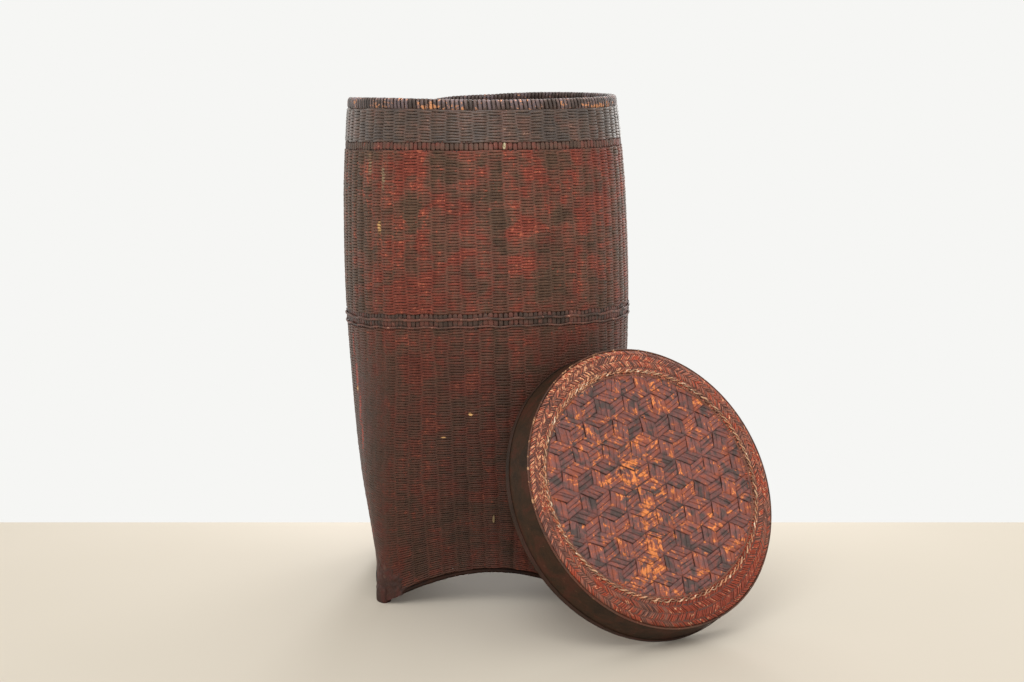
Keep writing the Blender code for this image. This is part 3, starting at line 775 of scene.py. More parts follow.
def tone(code):
    """A colour given as it is seen on a screen, in six hexadecimal digits."""
    channels = [int(code[i:i + 2], 16) / 255 for i in (0, 2, 4)]
    return (*[c / 12.92 if c <= 0.04045 else ((c + 0.055) / 1.055) ** 2.4 for c in channels], 1.0)


def mixed(tree, share, first, second, how="MIX"):
    return step(tree, "ShaderNodeMix", {"Factor": share, "A": first, "B": second},
                data_type="RGBA", blend_type=how)


def on_object(tree):
    """Where a point lies on its object."""
    return Field(tree, node(tree, "ShaderNodeTexCoord").outputs["Object"])


def carried(tree, name):
    """The three values kept on a mesh under a name, for a finish."""
    return Field(tree, node(tree, "ShaderNodeAttribute", attribute_name=name).outputs["Vector"])


def old_lacquer():
    """Lacquer in two tones with dark soot, worn spots and fine mottling."""
    tree, given, give = group(
        "Old lacquer", "ShaderNodeTree",
        "lacquer:Color patch:Color dark:Color worn:Color patch_size patch_above dark_below wear_size "
        "worn_above tint tint_pull streak streak_pull redder barer mottle", "color:Color wear height")
    where = on_object(tree)
    patches = cloud(tree, where, 1.0 / given.patch_size, 5.0, 0.62, 0.5)
    spots = cloud(tree, where, 1.0 / given.wear_size, 4.0, 0.6, 0.6)
    fine = cloud(tree, where, 1400.0, 2.0)
    tinted = given.tint - 0.5
    tone_of = patches + tinted * given.tint_pull + given.redder
    patch = tone_of.smooth(given.patch_above - 0.09, given.patch_above + 0.09)
    dark = 1.0 - tone_of.smooth(given.dark_below - 0.08, given.dark_below + 0.08)
    bare = (spots + (patches - 0.5) * 0.4 + ((given.streak - 0.5) + tinted * 0.45) * given.streak_pull
            + given.barer - given.worn_above)
    wear = bare.smooth(-0.02, 0.07)
    colour = mixed(tree, dark, mixed(tree, patch, given.lacquer, given.patch), given.dark)
    colour = mixed(tree, bare.smooth(-0.09, 0.0) * 0.8, colour, given.patch)
    colour = mixed(tree, wear * (0.7 + fine * 0.6), colour, given.worn)
    light = 1.0 + ((fine - 0.5) * 1.2 + (spots - 0.5) * 0.8 + tinted * 0.5) * given.mottle
    return give(color=mixed(tree, 1.0, colour, light, "MULTIPLY"), wear=wear,
                height=fine * 0.35 + spots * 0.65 - wear * 0.3)


def weave_marks():
    """What the weaving keeps on its mesh: the tint of a float, and painted shade along its edges and at its
    crossings; a depth below 0 paints a highlight instead.
    """
    tree, given, give = group("Weave marks", "ShaderNodeTree", "seam_depth crossing_depth", "tint shade")
    tint, crossing, edge = parts(tree, carried(tree, "weave"))
    return give(tint=tint, shade=((1.0 - edge.power(1.3) * given.seam_depth)
                                  * (1.0 - crossing.power(1.6) * given.crossing_depth)))


def fibres():
    """Long fine fibres along every split, by the grain kept on its mesh."""
    tree, _, give = group("Fibres", "ShaderNodeTree", "", "shade")
    return give(shade=cloud(tree, carried(tree, "grain"), 1.6, 4.0, 0.62))


def smeared():
    """Where lacquer fills the weave: its share, and a shade in upright streaks."""
    tree, given, give = group("Smeared", "ShaderNodeTree", "depth", "share shade")
    share, along, level = parts(tree, carried(tree, "filled"))
    streak = cloud(tree, vector(tree, along * 420.0, level * 34.0, 0.0), 1.0, 3.0)
    grit = cloud(tree, vector(tree, along, level, 0.0), 330.0, 3.0)
    return give(share=share, shade=0.80 + (streak - 0.5) * given.depth + (grit - 0.5) * given.depth)


def near_spot():
    """1 at a place on the object, falling to 0 away from it."""
    tree, given, give = group("Near a spot", "ShaderNodeTree", "centre:Vector reach:Vector", "share")
    away = vector_math(tree, "SUBTRACT", on_object(tree), given.centre)
    far = vector_math(tree, "LENGTH", vector_math(tree, "DIVIDE", away, given.reach))
    return give(share=(far * far + 1.0).power(-2.0))


class Finish:
    """A procedural material under way: its tree and the pieces it is put together from."""

    def __init__(self, name, roughness=0.5, coat=0.0, gloss=0.3):
        self.made = FINISHES[name] = bpy.data.materials.new(name)
        self.made.use_nodes = True
        self.tree = self.made.node_tree
        self.roughness = roughness
        self.set({"Coat Weight": coat, "Coat Roughness": 0.32, "Specular IOR Level": gloss})

    def set(self, values):
        """Feed the shader's own sockets."""
        for label, value in values.items():
            feed(self.tree, self.tree.nodes["Principled BSDF"].inputs[label], value)

    def use(self, effect, **values):
        """The outputs of a shared effect."""
        made = node(self.tree, "ShaderNodeGroup", {titled(label): value for label, value in values.items()},
                    node_tree=EFFECTS[effect])
        return by_name(self.tree, made.outputs)

    def near(self, spots):
        """Sum of shares round some spots: place and reach in millimetres, and amount of each."""
        total = 0.0
        for *sizes, amount in spots:
            centre, reach = ([size / 1000 for size in three] for three in (sizes[:3], sizes[3:]))
            total = self.use("spot", centre=centre, reach=reach).share * amount + total
        return total

    def lacquered(self, colours, patch, wear, redder=(), barer=(), tint=0.5, tint_pull=0.2, streak=0.5,
                  streak_pull=0.0, mottle=0.35):
        """The lacquer effect with its four colours, its sizes and the spots that push it."""
        lacquer, patched, dark, worn = map(tone, colours.split())
        patch_size, patch_above, dark_below = patch
        return self.use(
            "lacquer", lacquer=lacquer, patch=patched, dark=dark, worn=worn, patch_size=patch_size,
            patch_above=patch_above, dark_below=dark_below, wear_size=wear[0], worn_above=wear[1], tint=tint,
            tint_pull=tint_pull, streak=streak, streak_pull=streak_pull, redder=self.near(redder),
            barer=self.near(barer), mottle=mottle)

    def finish(self, colour, rough=None, height=None, strength=0.25, depth=0.0004):
        self.set({"Base Color": colour, "Roughness": self.roughness if rough is None else rough})
        if height is not None:
            self.set({"Normal": step(self.tree, "ShaderNodeBump", {
                "Height": height, "Strength": strength, "Distance": depth})})
        return self.made


def strand_finish(name, colours, patch, wear, seam=0.6, crossing=0.6, mottle=0.4, roughness=0.5, coat=0.0,
                  tint_pull=0.2, streak_pull=0.25, redder=(), barer=(), accents=(), foot=None, calm=None,
                  filled=0.0, grain_depth=0.56, gloss=0.3, dust=0.0):
    """Finish of woven strands: lacquer, painted shade at the weave's edges and crossings, and fibres; darker
    near the foot, partly by its lacquer and partly by painted shade.
    """
    it = Finish(name, roughness, coat, gloss)
    it.set({"Sheen Weight": dust, "Sheen Roughness": 0.45, "Sheen Tint": tone(DUSTY)})
    marks = it.use("marks", seam_depth=seam, crossing_depth=crossing)
    grain = it.use("fibres").shade
    coat_of = it.lacquered(colours, patch, wear, redder, barer, marks.tint, tint_pull, grain, streak_pull,
                           mottle)
    colour = coat_of.color
    # light is the weave's painted shade at edges and crossings, times the fibres' own tone
    light = marks.shade * (1.0 + (grain - 0.5) * grain_depth)
    if filled:
        smear = it.use("smear", depth=filled)
        light = light * (1.0 - smear.share) + smear.shade * smear.share
    # Darker low down: partly the lacquer's own darker tone near the foot, partly painted shade where less
    # light falls
    if foot:
        low, high, share = foot
        _, _, height = parts(it.tree, on_object(it.tree))
        above = height.smooth(low, high)
        if calm:
            amount = (1.0 - above) * calm[1]
            colour = mixed(it.tree, amount, colour, tone(calm[0]))
            light = light * (1.0 - amount * 0.5) + amount * 0.38
        light = light * (above * (1.0 - share) + share)
    colour = mixed(it.tree, 1.0, colour, light, "MULTIPLY")
    # Accents: wear, flecks, nicks, a red line, and grey down the left side that is partly a painted
    # reflection; each is dimmed by the weave's painted seam shade
    for spots, accent in accents:
        there = (it.near(spots) + (grain - 0.5) * 1.2).smooth(0.42, 0.72)
        worn = mixed(it.tree, 1.0, tone(accent), marks.shade.power(2.0), "MULTIPLY")
        colour = mixed(it.tree, there, colour, worn)
    rough = roughness + coat_of.wear * 0.18 + (grain - 0.5) * 0.25
    return it.finish(colour, rough, coat_of.height * 0.5 + grain, 0.35, 0.0003)


def lacquer_finish(name, colours, patch=(0.03, 0.55, 0.42), wear=(0.006, 0.68), mottle=0.3,
                   roughness=0.42, coat=0.15, strength=0.3, depth=0.0006, barer=(), gloss=0.3):
    """Finish of a smooth lacquered piece."""
    it = Finish(name, roughness, coat, gloss)
    coat_of = it.lacquered(colours, patch, wear, barer=barer, mottle=mottle)
    return it.finish(coat_of.color, roughness + coat_of.wear * 0.25, coat_of.height, strength, depth)


FINISHES = {}
EFFECTS = {"lacquer": old_lacquer(), "marks": weave_marks(), "fibres": fibres(),
           "spot": near_spot(), "smear": smeared()}
DUSTY = "cec4ac"
BARE_SPLIT = "f0be7c"
BRIGHT_RED = "a03e2c"
WEAR_AND_SHEEN_GREY = "7c6c5c"
PALE_FLECK = "a68e70"

# Where the lacquer is redder, darker (below 0) or worn barer, and where light is painted as said at a table:
# place and reach in mm, amount
WALL_REDDER = [
    (-144, -54, 432, 22, 60, 22, 0.16), (-150, -50, 312, 22, 60, 20, 0.15),
    (-88, -76, 325, 30, 60, 30, 0.12), (33, -36, 395, 25, 60, 55, 0.12), (-100, -70, 385, 14, 60, 35, 0.08),
    (-115, -66, 235, 30, 60, 20, 0.1), (-136, -58, 392, 14, 50, 22, -0.22),
    (-60, -77, 415, 18, 50, 26, -0.14), (0, -60, 345, 16, 50, 30, -0.12),
    (-206, 25, 400, 18, 60, 110, -0.24), (-150, -50, 115, 30, 60, 40, -0.06),
    (-63, -77, 290, 50, 50, 12, -0.1), (-190, -6, 430, 16, 50, 70, -0.16)]
# Grey down the wall's left side: partly grey wear, partly a painted reflection of light at a grazing angle
WALL_SIDE_WEAR_AND_SHEEN = [
    (-212.2, 53, 275, 8, 22, 100, 0.56), (-206, 49, 180, 8, 22, 70, 0.54), (-198, 42, 90, 8, 20, 60, 0.5),
    (-213, 53, 400, 8, 22, 80, 0.46)]
WALL_FLECKS = [
    (-165.4, -35.5, 427, 4.4, 20, 30, 0.66), (-179, -22, 435, 4.8, 20, 36, 0.62),
    (-174, -27, 305, 3.4, 20, 12, 0.55)]
WALL_RED_LINE = [
    (-200.8, 17, 256, 3.4, 8, 28, 0.7), (-197.7, 9.2, 222, 3.4, 8, 28, 0.76),
    (-193.7, 0.8, 190, 3.4, 8, 28, 0.68), (-190.3, -5.6, 161, 3.4, 8, 26, 0.78),
    (-186.6, -11.8, 132, 3.4, 8, 26, 0.68), (-183.4, -16.4, 102, 3.4, 8, 26, 0.76),
    (-179.5, -21.8, 70, 3.4, 8, 24, 0.66)]
WALL_NICKS = [
    (-81.2, -77, 199.2, 3.6, 20, 3, 1.0), (-107.4, -72, 175.6, 4.4, 20, 1.2, 1.0),
    (-169.6, -31.2, 376.5, 3.2, 20, 11.5, 0.82), (-197.2, 8.4, 208.5, 2.2, 8, 4.2, 1.0)]
RIM_BARER = [
    (-172, -30, 492.5, 14, 40, 4.5, 0.26), (-118, -60, 492.5, 12, 40, 4.5, 0.3),
    (45, -10, 492.5, 20, 40, 4.5, 0.26), (-148, -55, 493.5, 6, 30, 6, -0.1),
    (-80, -70, 492, 10, 40, 3, 0.14), (-10, -70, 492, 10, 40, 3, 0.14)]
PANEL_BARER = [
    (88, -145, 110, 20, 60, 45, 0.09), (87, -168, 78, 18, 60, 16, 0.11), (30, -140, 195, 20, 60, 18, 0.11),
    (110, -130, 130, 16, 60, 18, 0.07), (68, -132, 160, 26, 60, 26, 0.1), (74, -128, 205, 20, 60, 16, 0.05),
    (5, -165, 165, 30, 60, 40, -0.05), (150, -105, 140, 20, 60, 40, -0.05)]
BORDER_REDDER = [
    (140, -160, 40, 60, 80, 30, 0.42), (180, -117, 66, 30, 80, 40, 0.26), (40, -180, 60, 40, 80, 30, 0.1)]
# Barer towards the lid's top and left: worn lacquer, and a painted highlight where light falls from the upper
# left
BORDER_WEAR_AND_HIGHLIGHT = [
    (35, -90, 235, 50, 80, 30, 0.15), (-15, -170, 170, 20, 80, 60, 0.12)]
FOOT_BARER = [
    (-176, -26.2, 24, 3, 8, 5, 0.3)]
WALL_ACCENTS = (
    (WALL_SIDE_WEAR_AND_SHEEN, WEAR_AND_SHEEN_GREY), (WALL_FLECKS, PALE_FLECK), (WALL_NICKS, BARE_SPLIT),
    (WALL_RED_LINE, BRIGHT_RED))

# The finishes. Four colours each: lacquer, patches, dark and worn. Then the size of patches and
# where they and the dark begin in the noise, and the size of worn spots and where they begin.
# The wall darkens below its middle ridge: partly its lacquer, partly painted shade
strand_finish("wall_weft", "764d3f 864033 62493a a85c46", (0.024, 0.560, 0.41), (0.0034, 0.658),
    seam=0.42, crossing=0.26, mottle=0.95, tint_pull=0.18, gloss=0.25, streak_pull=0.35,
    redder=WALL_REDDER, accents=WALL_ACCENTS, foot=(0.18, 0.38, 0.52), calm=("724838", 0.30), filled=0.6,
    dust=0.10)
strand_finish("top_weft", "5f4d44 6a4b41 564944 9c7c6a", (0.025, 0.57, 0.44), (0.0035, 0.70), seam=0.44,
    crossing=0.26, coat=0.35, dust=0.15, roughness=0.38, tint_pull=0.15, mottle=0.9)
strand_finish("stake_split", "543a32 683e34 463630 825c48", (0.012, 0.5, 0.42), (0.004, 0.66), seam=0.6)
strand_finish("ridge_stake", "5a4239 6a4036 4a3a32 926656", (0.012, 0.56, 0.44), (0.004, 0.69), seam=0.3,
    mottle=0.8, tint_pull=0.3)
strand_finish("upper_ridge_stake", "68493e 764036 58453a 966454", (0.020, 0.56, 0.43), (0.004, 0.68),
    seam=0.30, mottle=0.7, tint_pull=0.12, redder=WALL_REDDER)
strand_finish("ridge_strand", "684a3f 74463b 503e36 a07462", (0.014, 0.56, 0.43), (0.004, 0.64), seam=0.6,
    crossing=0.3, mottle=0.8)
# A crossing shade below 0 paints a highlight along the top outer edge of the wraps
strand_finish("rim_wrap", "5e4b44 6c5c5e 483a34 d89464", (0.02, 0.54, 0.44), (0.0034, 0.655), seam=0.85,
    crossing=-1.6, roughness=0.40, coat=0.2, barer=RIM_BARER, streak_pull=0.3)
lacquer_finish("rim_hoop", "5c463c 46342c 3c2e28 967054")
lacquer_finish("corner_rod", "54392f 62382c 46342c 96583a", (0.014, 0.53, 0.43), (0.006, 0.68),
    roughness=0.5, coat=0.1)
lacquer_finish("corner_lacquer", "482e27 542e28 3c2924 b0482e", (0.012, 0.56, 0.44), (0.0045, 0.70),
    coat=0.0, roughness=0.55, mottle=0.9, strength=0.8, depth=0.0014, gloss=0.22, barer=FOOT_BARER)
lacquer_finish("arch_edge", "2a1c16 342018 201714 965428", (0.02, 0.55, 0.44), (0.006, 0.73), coat=0.0,
    roughness=0.6, gloss=0.1)
lacquer_finish("bare_peg", "cec0a0 b0a07c 968464 78644a", (0.004, 0.6, 0.4), (0.002, 0.66), coat=0.0,
    roughness=0.6)
lacquer_finish("dark_peg", "847052 968260 604e3a b09c78", (0.004, 0.6, 0.42), (0.002, 0.66), coat=0.0,
    roughness=0.6)
strand_finish("lid_panel_split", "84544f 9c523c 564642 e2884c", (0.011, 0.565, 0.425), (0.0058, 0.636),
    seam=0.55, crossing=0.55, mottle=0.9, coat=0.12, tint_pull=0.16, streak_pull=0.40, barer=PANEL_BARER,
    grain_depth=0.9)
# The grounds under the panel and the border are darker than their splits: the lower layer's lacquer, with
# painted shade for the gaps
lacquer_finish("under_weave", "482e2a 543028 3a2826 6e4232")
lacquer_finish("under_border", "603a2e 6e3a2a 4e322a 8c5840")
# The border's floats darken low down, near the table: painted shade
strand_finish("lid_border_float", "aa705c b24c32 7e5146 e4aa82", (0.018, 0.57, 0.42), (0.0030, 0.63),
    seam=0.38, crossing=0.25, mottle=0.9, coat=0.1, tint_pull=0.25, foot=(0.02, 0.12, 0.66),
    redder=BORDER_REDDER, barer=BORDER_WEAR_AND_HIGHLIGHT, grain_depth=0.9)
lacquer_finish("ring_strip", "804e38 6e4232 5a3e32 b4764c", (0.02, 0.55, 0.42), (0.005, 0.68))
strand_finish("cane_stitch", "e2b692 c47852 966a54 f4dcc0", (0.018, 0.55, 0.42), (0.006, 0.60), seam=0.45,
    crossing=0.40, mottle=0.5, tint_pull=0.35)
# The cane is lighter towards the lid's top and left: wear and a painted highlight
lacquer_finish("edge_cane", "624030 603628 4a3228 ce9c74", (0.03, 0.55, 0.44), (0.006, 0.66), coat=0.0,
    barer=BORDER_WEAR_AND_HIGHLIGHT)
lacquer_finish("band_lacquer", "3c2b1f 4a2c21 32261d 684c3a", (0.022, 0.55, 0.42), (0.006, 0.72),
    coat=0.0, roughness=0.62, strength=0.5, gloss=0.12, mottle=0.6)
lacquer_finish("brim_lacquer", "3a2921 462e27 30241d 785a4c", (0.03, 0.55, 0.42), (0.006, 0.70), coat=0.0,
    roughness=0.55, gloss=0.14)
strand_finish("lining_split", "806044 74523a 604836 a07c5a", (0.03, 0.55, 0.42), (0.006, 0.68), coat=0.0)


# The basket

def place(made, body, slot, *nodes):
    """Say which body a piece moves with and the nodes that it shows; the slot is not used."""
    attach(made, body)
    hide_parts(*nodes)


def weave_the_wall(wall, trees):
    """Wefts, stakes and ridges of the wall."""
    def woven(name, tree, finish, common, slot="woven_wall", node_name="wall_weave", **sizes):
        made = grow(name, trees[tree], finish, form=wall.object, length=FORM_LENGTH, height=FORM_TOP,
                    girth=GIRTH, **{**common, **sizes})
        place(made, "basket", slot, node_name)

    weft = dict(
        columns=STAKES, row_pitch=ROW_PITCH, strand_height=STRAND_HEIGHT, strand_thickness=STRAND_THICKNESS,
        weave_depth=WEAVE_DEPTH, depth_in_wall=0.0013, waviness=0.0010, sway=0.00025, pinch=0.44, seed=3,
        filled=1.0, filled_share=0.03, column_shift=0.00045)
    below = 0
    for zone, first, pieces, finish in ROW_ZONES:
        for number, rows in enumerate(pieces):
            woven(f"weft_rows_{zone}_{number + 1}", "wefts", finish, weft,
                  first_level=first, rows=rows, first_row=below)
            first += rows * ROW_PITCH
            below += rows
    stakes = dict(stakes=STAKES, splits=SPLITS_IN_STAKE, split_pitch=SPLIT_PITCH)
    woven("stakes", "stakes", "stake_split", stakes, split_width=0.0058, thickness=0.0009, around=5,
          stations=44, low=0.0070, high=0.4960, depth_in_wall=WALL / 2, bulge=0.0, blunt=40.0, uneven=0.0,
          seed=11)
    bits = dict(stakes, split_width=0.0054, thickness=0.0007, around=7, blunt=7.0)
    woven("upper_ridge_stakes", "stakes", "upper_ridge_stake", bits, "ridge_strand", "upper_ridge_strand",
          stations=9, low=0.4526, high=0.4602, depth_in_wall=0.0013, bulge=0.0002, uneven=0.0008, seed=12)
    woven("middle_ridge_stakes", "stakes", "ridge_stake", bits,
          stations=13, low=0.2836, high=0.2994, depth_in_wall=0.0016, bulge=0.0003, uneven=0.0004, seed=13)
    strand = dict(weft, rows=1, first_row=0, filled=0.0, column_shift=0.0)
    for half, level, tall, seed in (("upper", 0.2933, 0.0030, 21), ("lower", 0.2858, 0.0022, 22)):
        woven(f"middle_ridge_{half}_strand", "wefts", "ridge_strand", strand, "ridge_strand",
              "middle_ridge_" + half, first_level=level, strand_height=tall, strand_thickness=0.0017,
              weave_depth=0.0003, waviness=0.0014, sway=0.0006, pinch=0.1, depth_in_wall=-0.0002, seed=seed)
    # plain strips close the gaps behind the ridges and over the arches
    for name, level, tall in (("upper_ridge_back", 0.4564, 0.0082), ("middle_ridge_back", 0.2915, 0.0160),
                              ("arch_edge_back", 0.0078, 0.0064)):
        woven(name, "wefts", "stake_split", strand, first_level=level, strand_height=tall,
              strand_thickness=0.0006, weave_depth=0.0, waviness=0.0, sway=0.0, pinch=0.0,
              depth_in_wall=0.0026)
    woven("rim_wraps", "wraps", "rim_wrap", {}, "rim_lashing", "rim_lashing",
          wraps=192, wrap_width=0.0046, wrap_thickness=0.0010, slant=-0.0008, half_depth=0.0036,
          half_height=0.00545, middle_depth=0.0041, middle_level=0.4947, squareness=3.2, seed=31)


def corner_rod(wall, name, middle, number):
    """The heavier stake of a corner, sinking into the wall above the foot."""
    low, tall, stations = 0.010, 0.220, 130
    sunk_at, sinks_over, rough_below = 0.085, 0.060, 0.06
    half_width, half_thick = 0.0034, 0.0016
    loops = []
    for k in range(stations + 1):
        level = low + tall * k / stations
        fade = clamp((sunk_at - level) / sinks_over)
        rough = 1 + 1.5 * clamp(1 - level / rough_below)
        section = ellipse(14, half_width * (0.4 + 0.6 * fade), half_thick * (0.3 + 0.7 * fade))
        loops.append([wall.at(
            middle + across + crumple(0, level, 0.03, 0.0006, number), level,
            out - 0.0036 + 0.0024 * fade + crumple(across, level, 0.009, 0.00035, number) * rough * fade)
            for across, out in section])
    place(loft("corner_rod_" + name, loops, "corner_rod"), "basket", "corner_stake", "corner_stake_" + name)


def foot(wall, name, middle, number):
    """A foot, flat on the table."""
    half_width, half_depth = 0.0078, 0.0062
    aside, sunk = 0.0036, 0.0018
    loops = []
    for level, swell in ((0, 0.90), (0.0005, 0.95), (0.0016, 0.99), (0.004, 1), (0.007, 1),
                         (0.010, 0.99), (0.013, 0.95), (0.0155, 0.86), (0.017, 0.7)):
        loop = []
        for across, out in ellipse(28, half_width * swell, half_depth * swell, 4.0):
            folds = crumple(across, level + out, 0.006, 0.0003, number) * clamp(level / 0.003)
            point = wall.at(middle - aside + across, level, out - sunk + folds)
            point.z = level
            loop.append(point)
        loops.append(loop)
    place(loft("foot_" + name, loops, "corner_lacquer"), "basket", "corner_stake", "corner_stake_" + name)


def foot_lacquer(wall, name, middle, number):
    """Thick lacquer that has filled the weave over a foot and crumpled."""
    reach, bottom, top = 0.032, 0.0012, 0.060
    across, up = 56, 50
    loops = []
    for i in range(across + 1):
        x = reach * (2 * i / across - 1)
        front, back = [], []
        for j in range(up + 1):
            level = bottom + (top - bottom) * j / up
            ragged = noise.noise(Vector((x * 210, level * 210, number * 5.0))) * 0.16
            near = math.hypot(x / reach, level / top * 1.05) + ragged
            cover = clamp((0.98 - near) / 0.62)
            cover = cover * cover * (3 - 2 * cover)
            low = clamp(1 - level / 0.030)
            out = -0.0018 + cover * (0.0022 + 0.0016 * low + crumple(x, level, 0.008, 0.0009, number * 3.0))
            front.append(wall.at(middle + x, level, out))
            back.append(wall.at(middle + x, level, -0.0030))
        loops.append(front + back[::-1])
    place(loft("foot_lacquer_" + name, loops, "corner_lacquer"), "basket", "corner_stake", "wall_weave")


def arch_edge(wall, name, share, number):
    """The thick edge along one arch."""
    half, stations = 0.1125 * GIRTH, 120
    radius, level, sunk = 0.0029, 0.0034, 0.0018
    loops = []
    for k in range(stations + 1):
        along = half * (2 * k / stations - 1)
        x = share * GIRTH + along
        if x > GIRTH / 2:
            x -= GIRTH
        thick = (radius * (1 + 0.10 * noise.noise(Vector((along * 60, number, 0))))
                 * (1 - 0.25 * (abs(along) / half) ** 6))
        loops.append([wall.at(x, level + up + crumple(along, up, 0.008, 0.0003, number),
                              out - sunk + crumple(along, up + out, 0.006, 0.0004, number + 9))
                      for out, up in ellipse(14, thick, thick)])
    place(loft("arch_edge_" + name, loops, "arch_edge"), "basket", "edge_cord", "base_edge_" + name)


def corner_work(wall):
    """Stakes, feet and thick lacquer at the four corners, and the edges of the arches."""
    corners = {"front_left": -0.125, "front_right": 0.125, "back_right": 0.375, "back_left": -0.375}
    for number, (name, share) in enumerate(corners.items()):
        for make in (corner_rod, foot, foot_lacquer):
            make(wall, name, share * GIRTH, number)
    for number, (name, share) in enumerate({"front": 0.0, "right": 0.25, "back": 0.5, "left": -0.25}.items()):
        arch_edge(wall, name, share, number)


def pegs(wall):
    """Two split pegs driven into the wall."""
    for half, finish, px, level, width, height, proud, turn in (
            ("upper", "bare_peg", 0.0226, 0.4566, 0.0026, 0.0062, 0.0030, 0.10),
            ("lower", "dark_peg", 0.0020, 0.0775, 0.0024, 0.0092, 0.0018, 0.05)):
        loops = []
        for k in range(13):
            t = k / 12
            out = -0.0015 + (proud + 0.0015) * t
            share = (1 - 0.9 * max(0.0, (t - 0.82) / 0.18) ** 2) ** 0.5
            loops.append([wall.at(px + a * share + turn * b, level + b * share, out)
                          for a, b in ellipse(18, width / 2, height / 2, 2.6)])
        place(loft(half + "_split_peg", loops, finish), "basket", "peg", half + "_peg")


def base_floor(trees):
    """The woven bottom, drawn down to the wall's edge and raised in the middle."""
    half = 0.1150
    centre = Vector((LEAN_AT_FOOT + AXIS[0], AXIS[1], 0.0515))
    made = grow("base_floor", trees["plain"], "lining_split", splits=26, half_width=half, squareness=7.0,
                split_width=0.0080, split_thickness=0.0009, weave_depth=0.0006, level=0.0, seed=41)
    for vertex in made.data.vertices:
        x, y, w = vertex.co
        share = max(abs(x), abs(y)) / half
        side = min(abs(x), abs(y)) / max(share, 0.001)
        edge = 0.014 + arch_above(side / ARCH_HALF_SPAN) * 0.877 + 0.0015
        vertex.co = (centre.x + x, centre.y + y, centre.z + (edge - centre.z) * share ** 2 + w)
    place(made, "basket", "woven_base", "base_weave")


# The lid

LID_FRAME = lid_frame()


def on_lid(made, slot, *nodes, face=False):
    """Set a piece made in the lid's frame where the lid leans; its face is a little oval."""
    if face:
        spots = np.empty(len(made.data.vertices) * 3, np.float32)
        made.data.vertices.foreach_get("co", spots)
        x, y = spots[0::3], spots[1::3]
        share = np.clip((ROUND_FROM - np.hypot(x, y)) / (ROUND_FROM - RING_RADIUS), 0, 1)
        spots[0::3] = x * (1 + (RING_OVAL[0] - 1) * share) + RING_SHIFT[0] * share
        spots[1::3] = y * (1 + (RING_OVAL[1] - 1) * share) + RING_SHIFT[1] * share
        made.data.vertices.foreach_set("co", spots)
    made.data.transform(LID_FRAME)
    place(made, "lid", slot, *nodes)


def band_radius(w):
    """Radius of the lid's band, a little wider at its open edge."""
    return LID_MOUTH_RADIUS + (LID_TOP_RADIUS - LID_MOUTH_RADIUS) * w / LID_BAND_HEIGHT


def dented(angle, radius, w):
    """The lid is a little out of round, with shallow dents."""
    at = Vector((math.cos(angle) * 2.2, math.sin(angle) * 2.2, w * 18))
    return radius + 0.00035 * noise.noise(at), w


def border_profile():
    """Radii and levels over the lid's border, from the stitching out and down the edge; its length."""
    radii, levels = zip((0.1133, 0.0380), (0.1190, 0.0382), (0.1256, 0.0381), (0.1301, 0.0374),
                        (0.1334, 0.0363), (0.1354, 0.0349), (0.1360, 0.0341))
    runs = np.concatenate(([0], np.cumsum(np.hypot(np.diff(radii), np.diff(levels)))))
    at = np.linspace(0, runs[-1], BORDER_STEPS)
    return np.interp(at, runs, radii), np.interp(at, runs, levels), runs[-1]


def lid_border_form():
    """The border's face as a form: x runs round the lid, height runs inwards to the ring."""
    radii, levels, length = border_profile()
    angles = np.linspace(-math.pi - BORDER_MARGIN, math.pi + BORDER_MARGIN, 313)
    points = np.array([[(radius * math.cos(angle), radius * math.sin(angle), w)
                        for radius, w in zip(radii[::-1], levels[::-1])] for angle in angles])
    return Form("lid_border_form", points, BORDER_GIRTH * (1 + BORDER_MARGIN / math.pi), length)


def lid_hoop(name, low, high, thick, side, finish, slot, node_name):
    """A hoop on the band's outside (side 1) or inside (side -1)."""
    face = 0 if side > 0 else -LID_BAND
    middle = (low + high) / 2
    section = [(band_radius(middle + up) + face + side * (thick / 2 + 0.0002) + across, middle + up)
               for up, across in ellipse(14, (high - low) / 2, thick / 2, 3.0)]
    on_lid(turned(name, section, finish, dented), slot, node_name)


def lid_sides():
    """The lid's band, its hoops and the cane round its top edge."""
    mouth = band_radius(0)
    round_edge = [(mouth - LID_BAND / 2 + LID_BAND / 2 * math.cos(t), 0.0009 - 0.0009 * math.sin(t))
                  for t in np.linspace(0, math.pi, 9)]
    levels = np.linspace(0.004, LID_BAND_HEIGHT, 14)
    outer = [(band_radius(w), w) for w in levels]
    inner = [(band_radius(w) - LID_BAND, w) for w in levels]
    on_lid(turned("lid_band", outer[::-1] + round_edge + inner, "band_lacquer", dented),
           "lid_band", "lid_side_band")
    lid_hoop("lid_open_hoop", 0.0024, 0.0069, 0.0010, 1, "brim_lacquer", "lid_band", "lid_open_edge_hoop")
    lid_hoop("lid_inside_hoop", 0.0015, 0.0130, 0.0009, -1, "lining_split", "lid_lining", "lid_inner_hoop")
    cane = [(LID_TOP_RADIUS - 0.0008 + a, LID_BAND_HEIGHT + 0.0010 + b)
            for a, b in ellipse(12, 0.0009, 0.0009)]
    on_lid(turned("lid_cane", cane, "edge_cane", dented), "lid_cane", "lid_edge_cane")


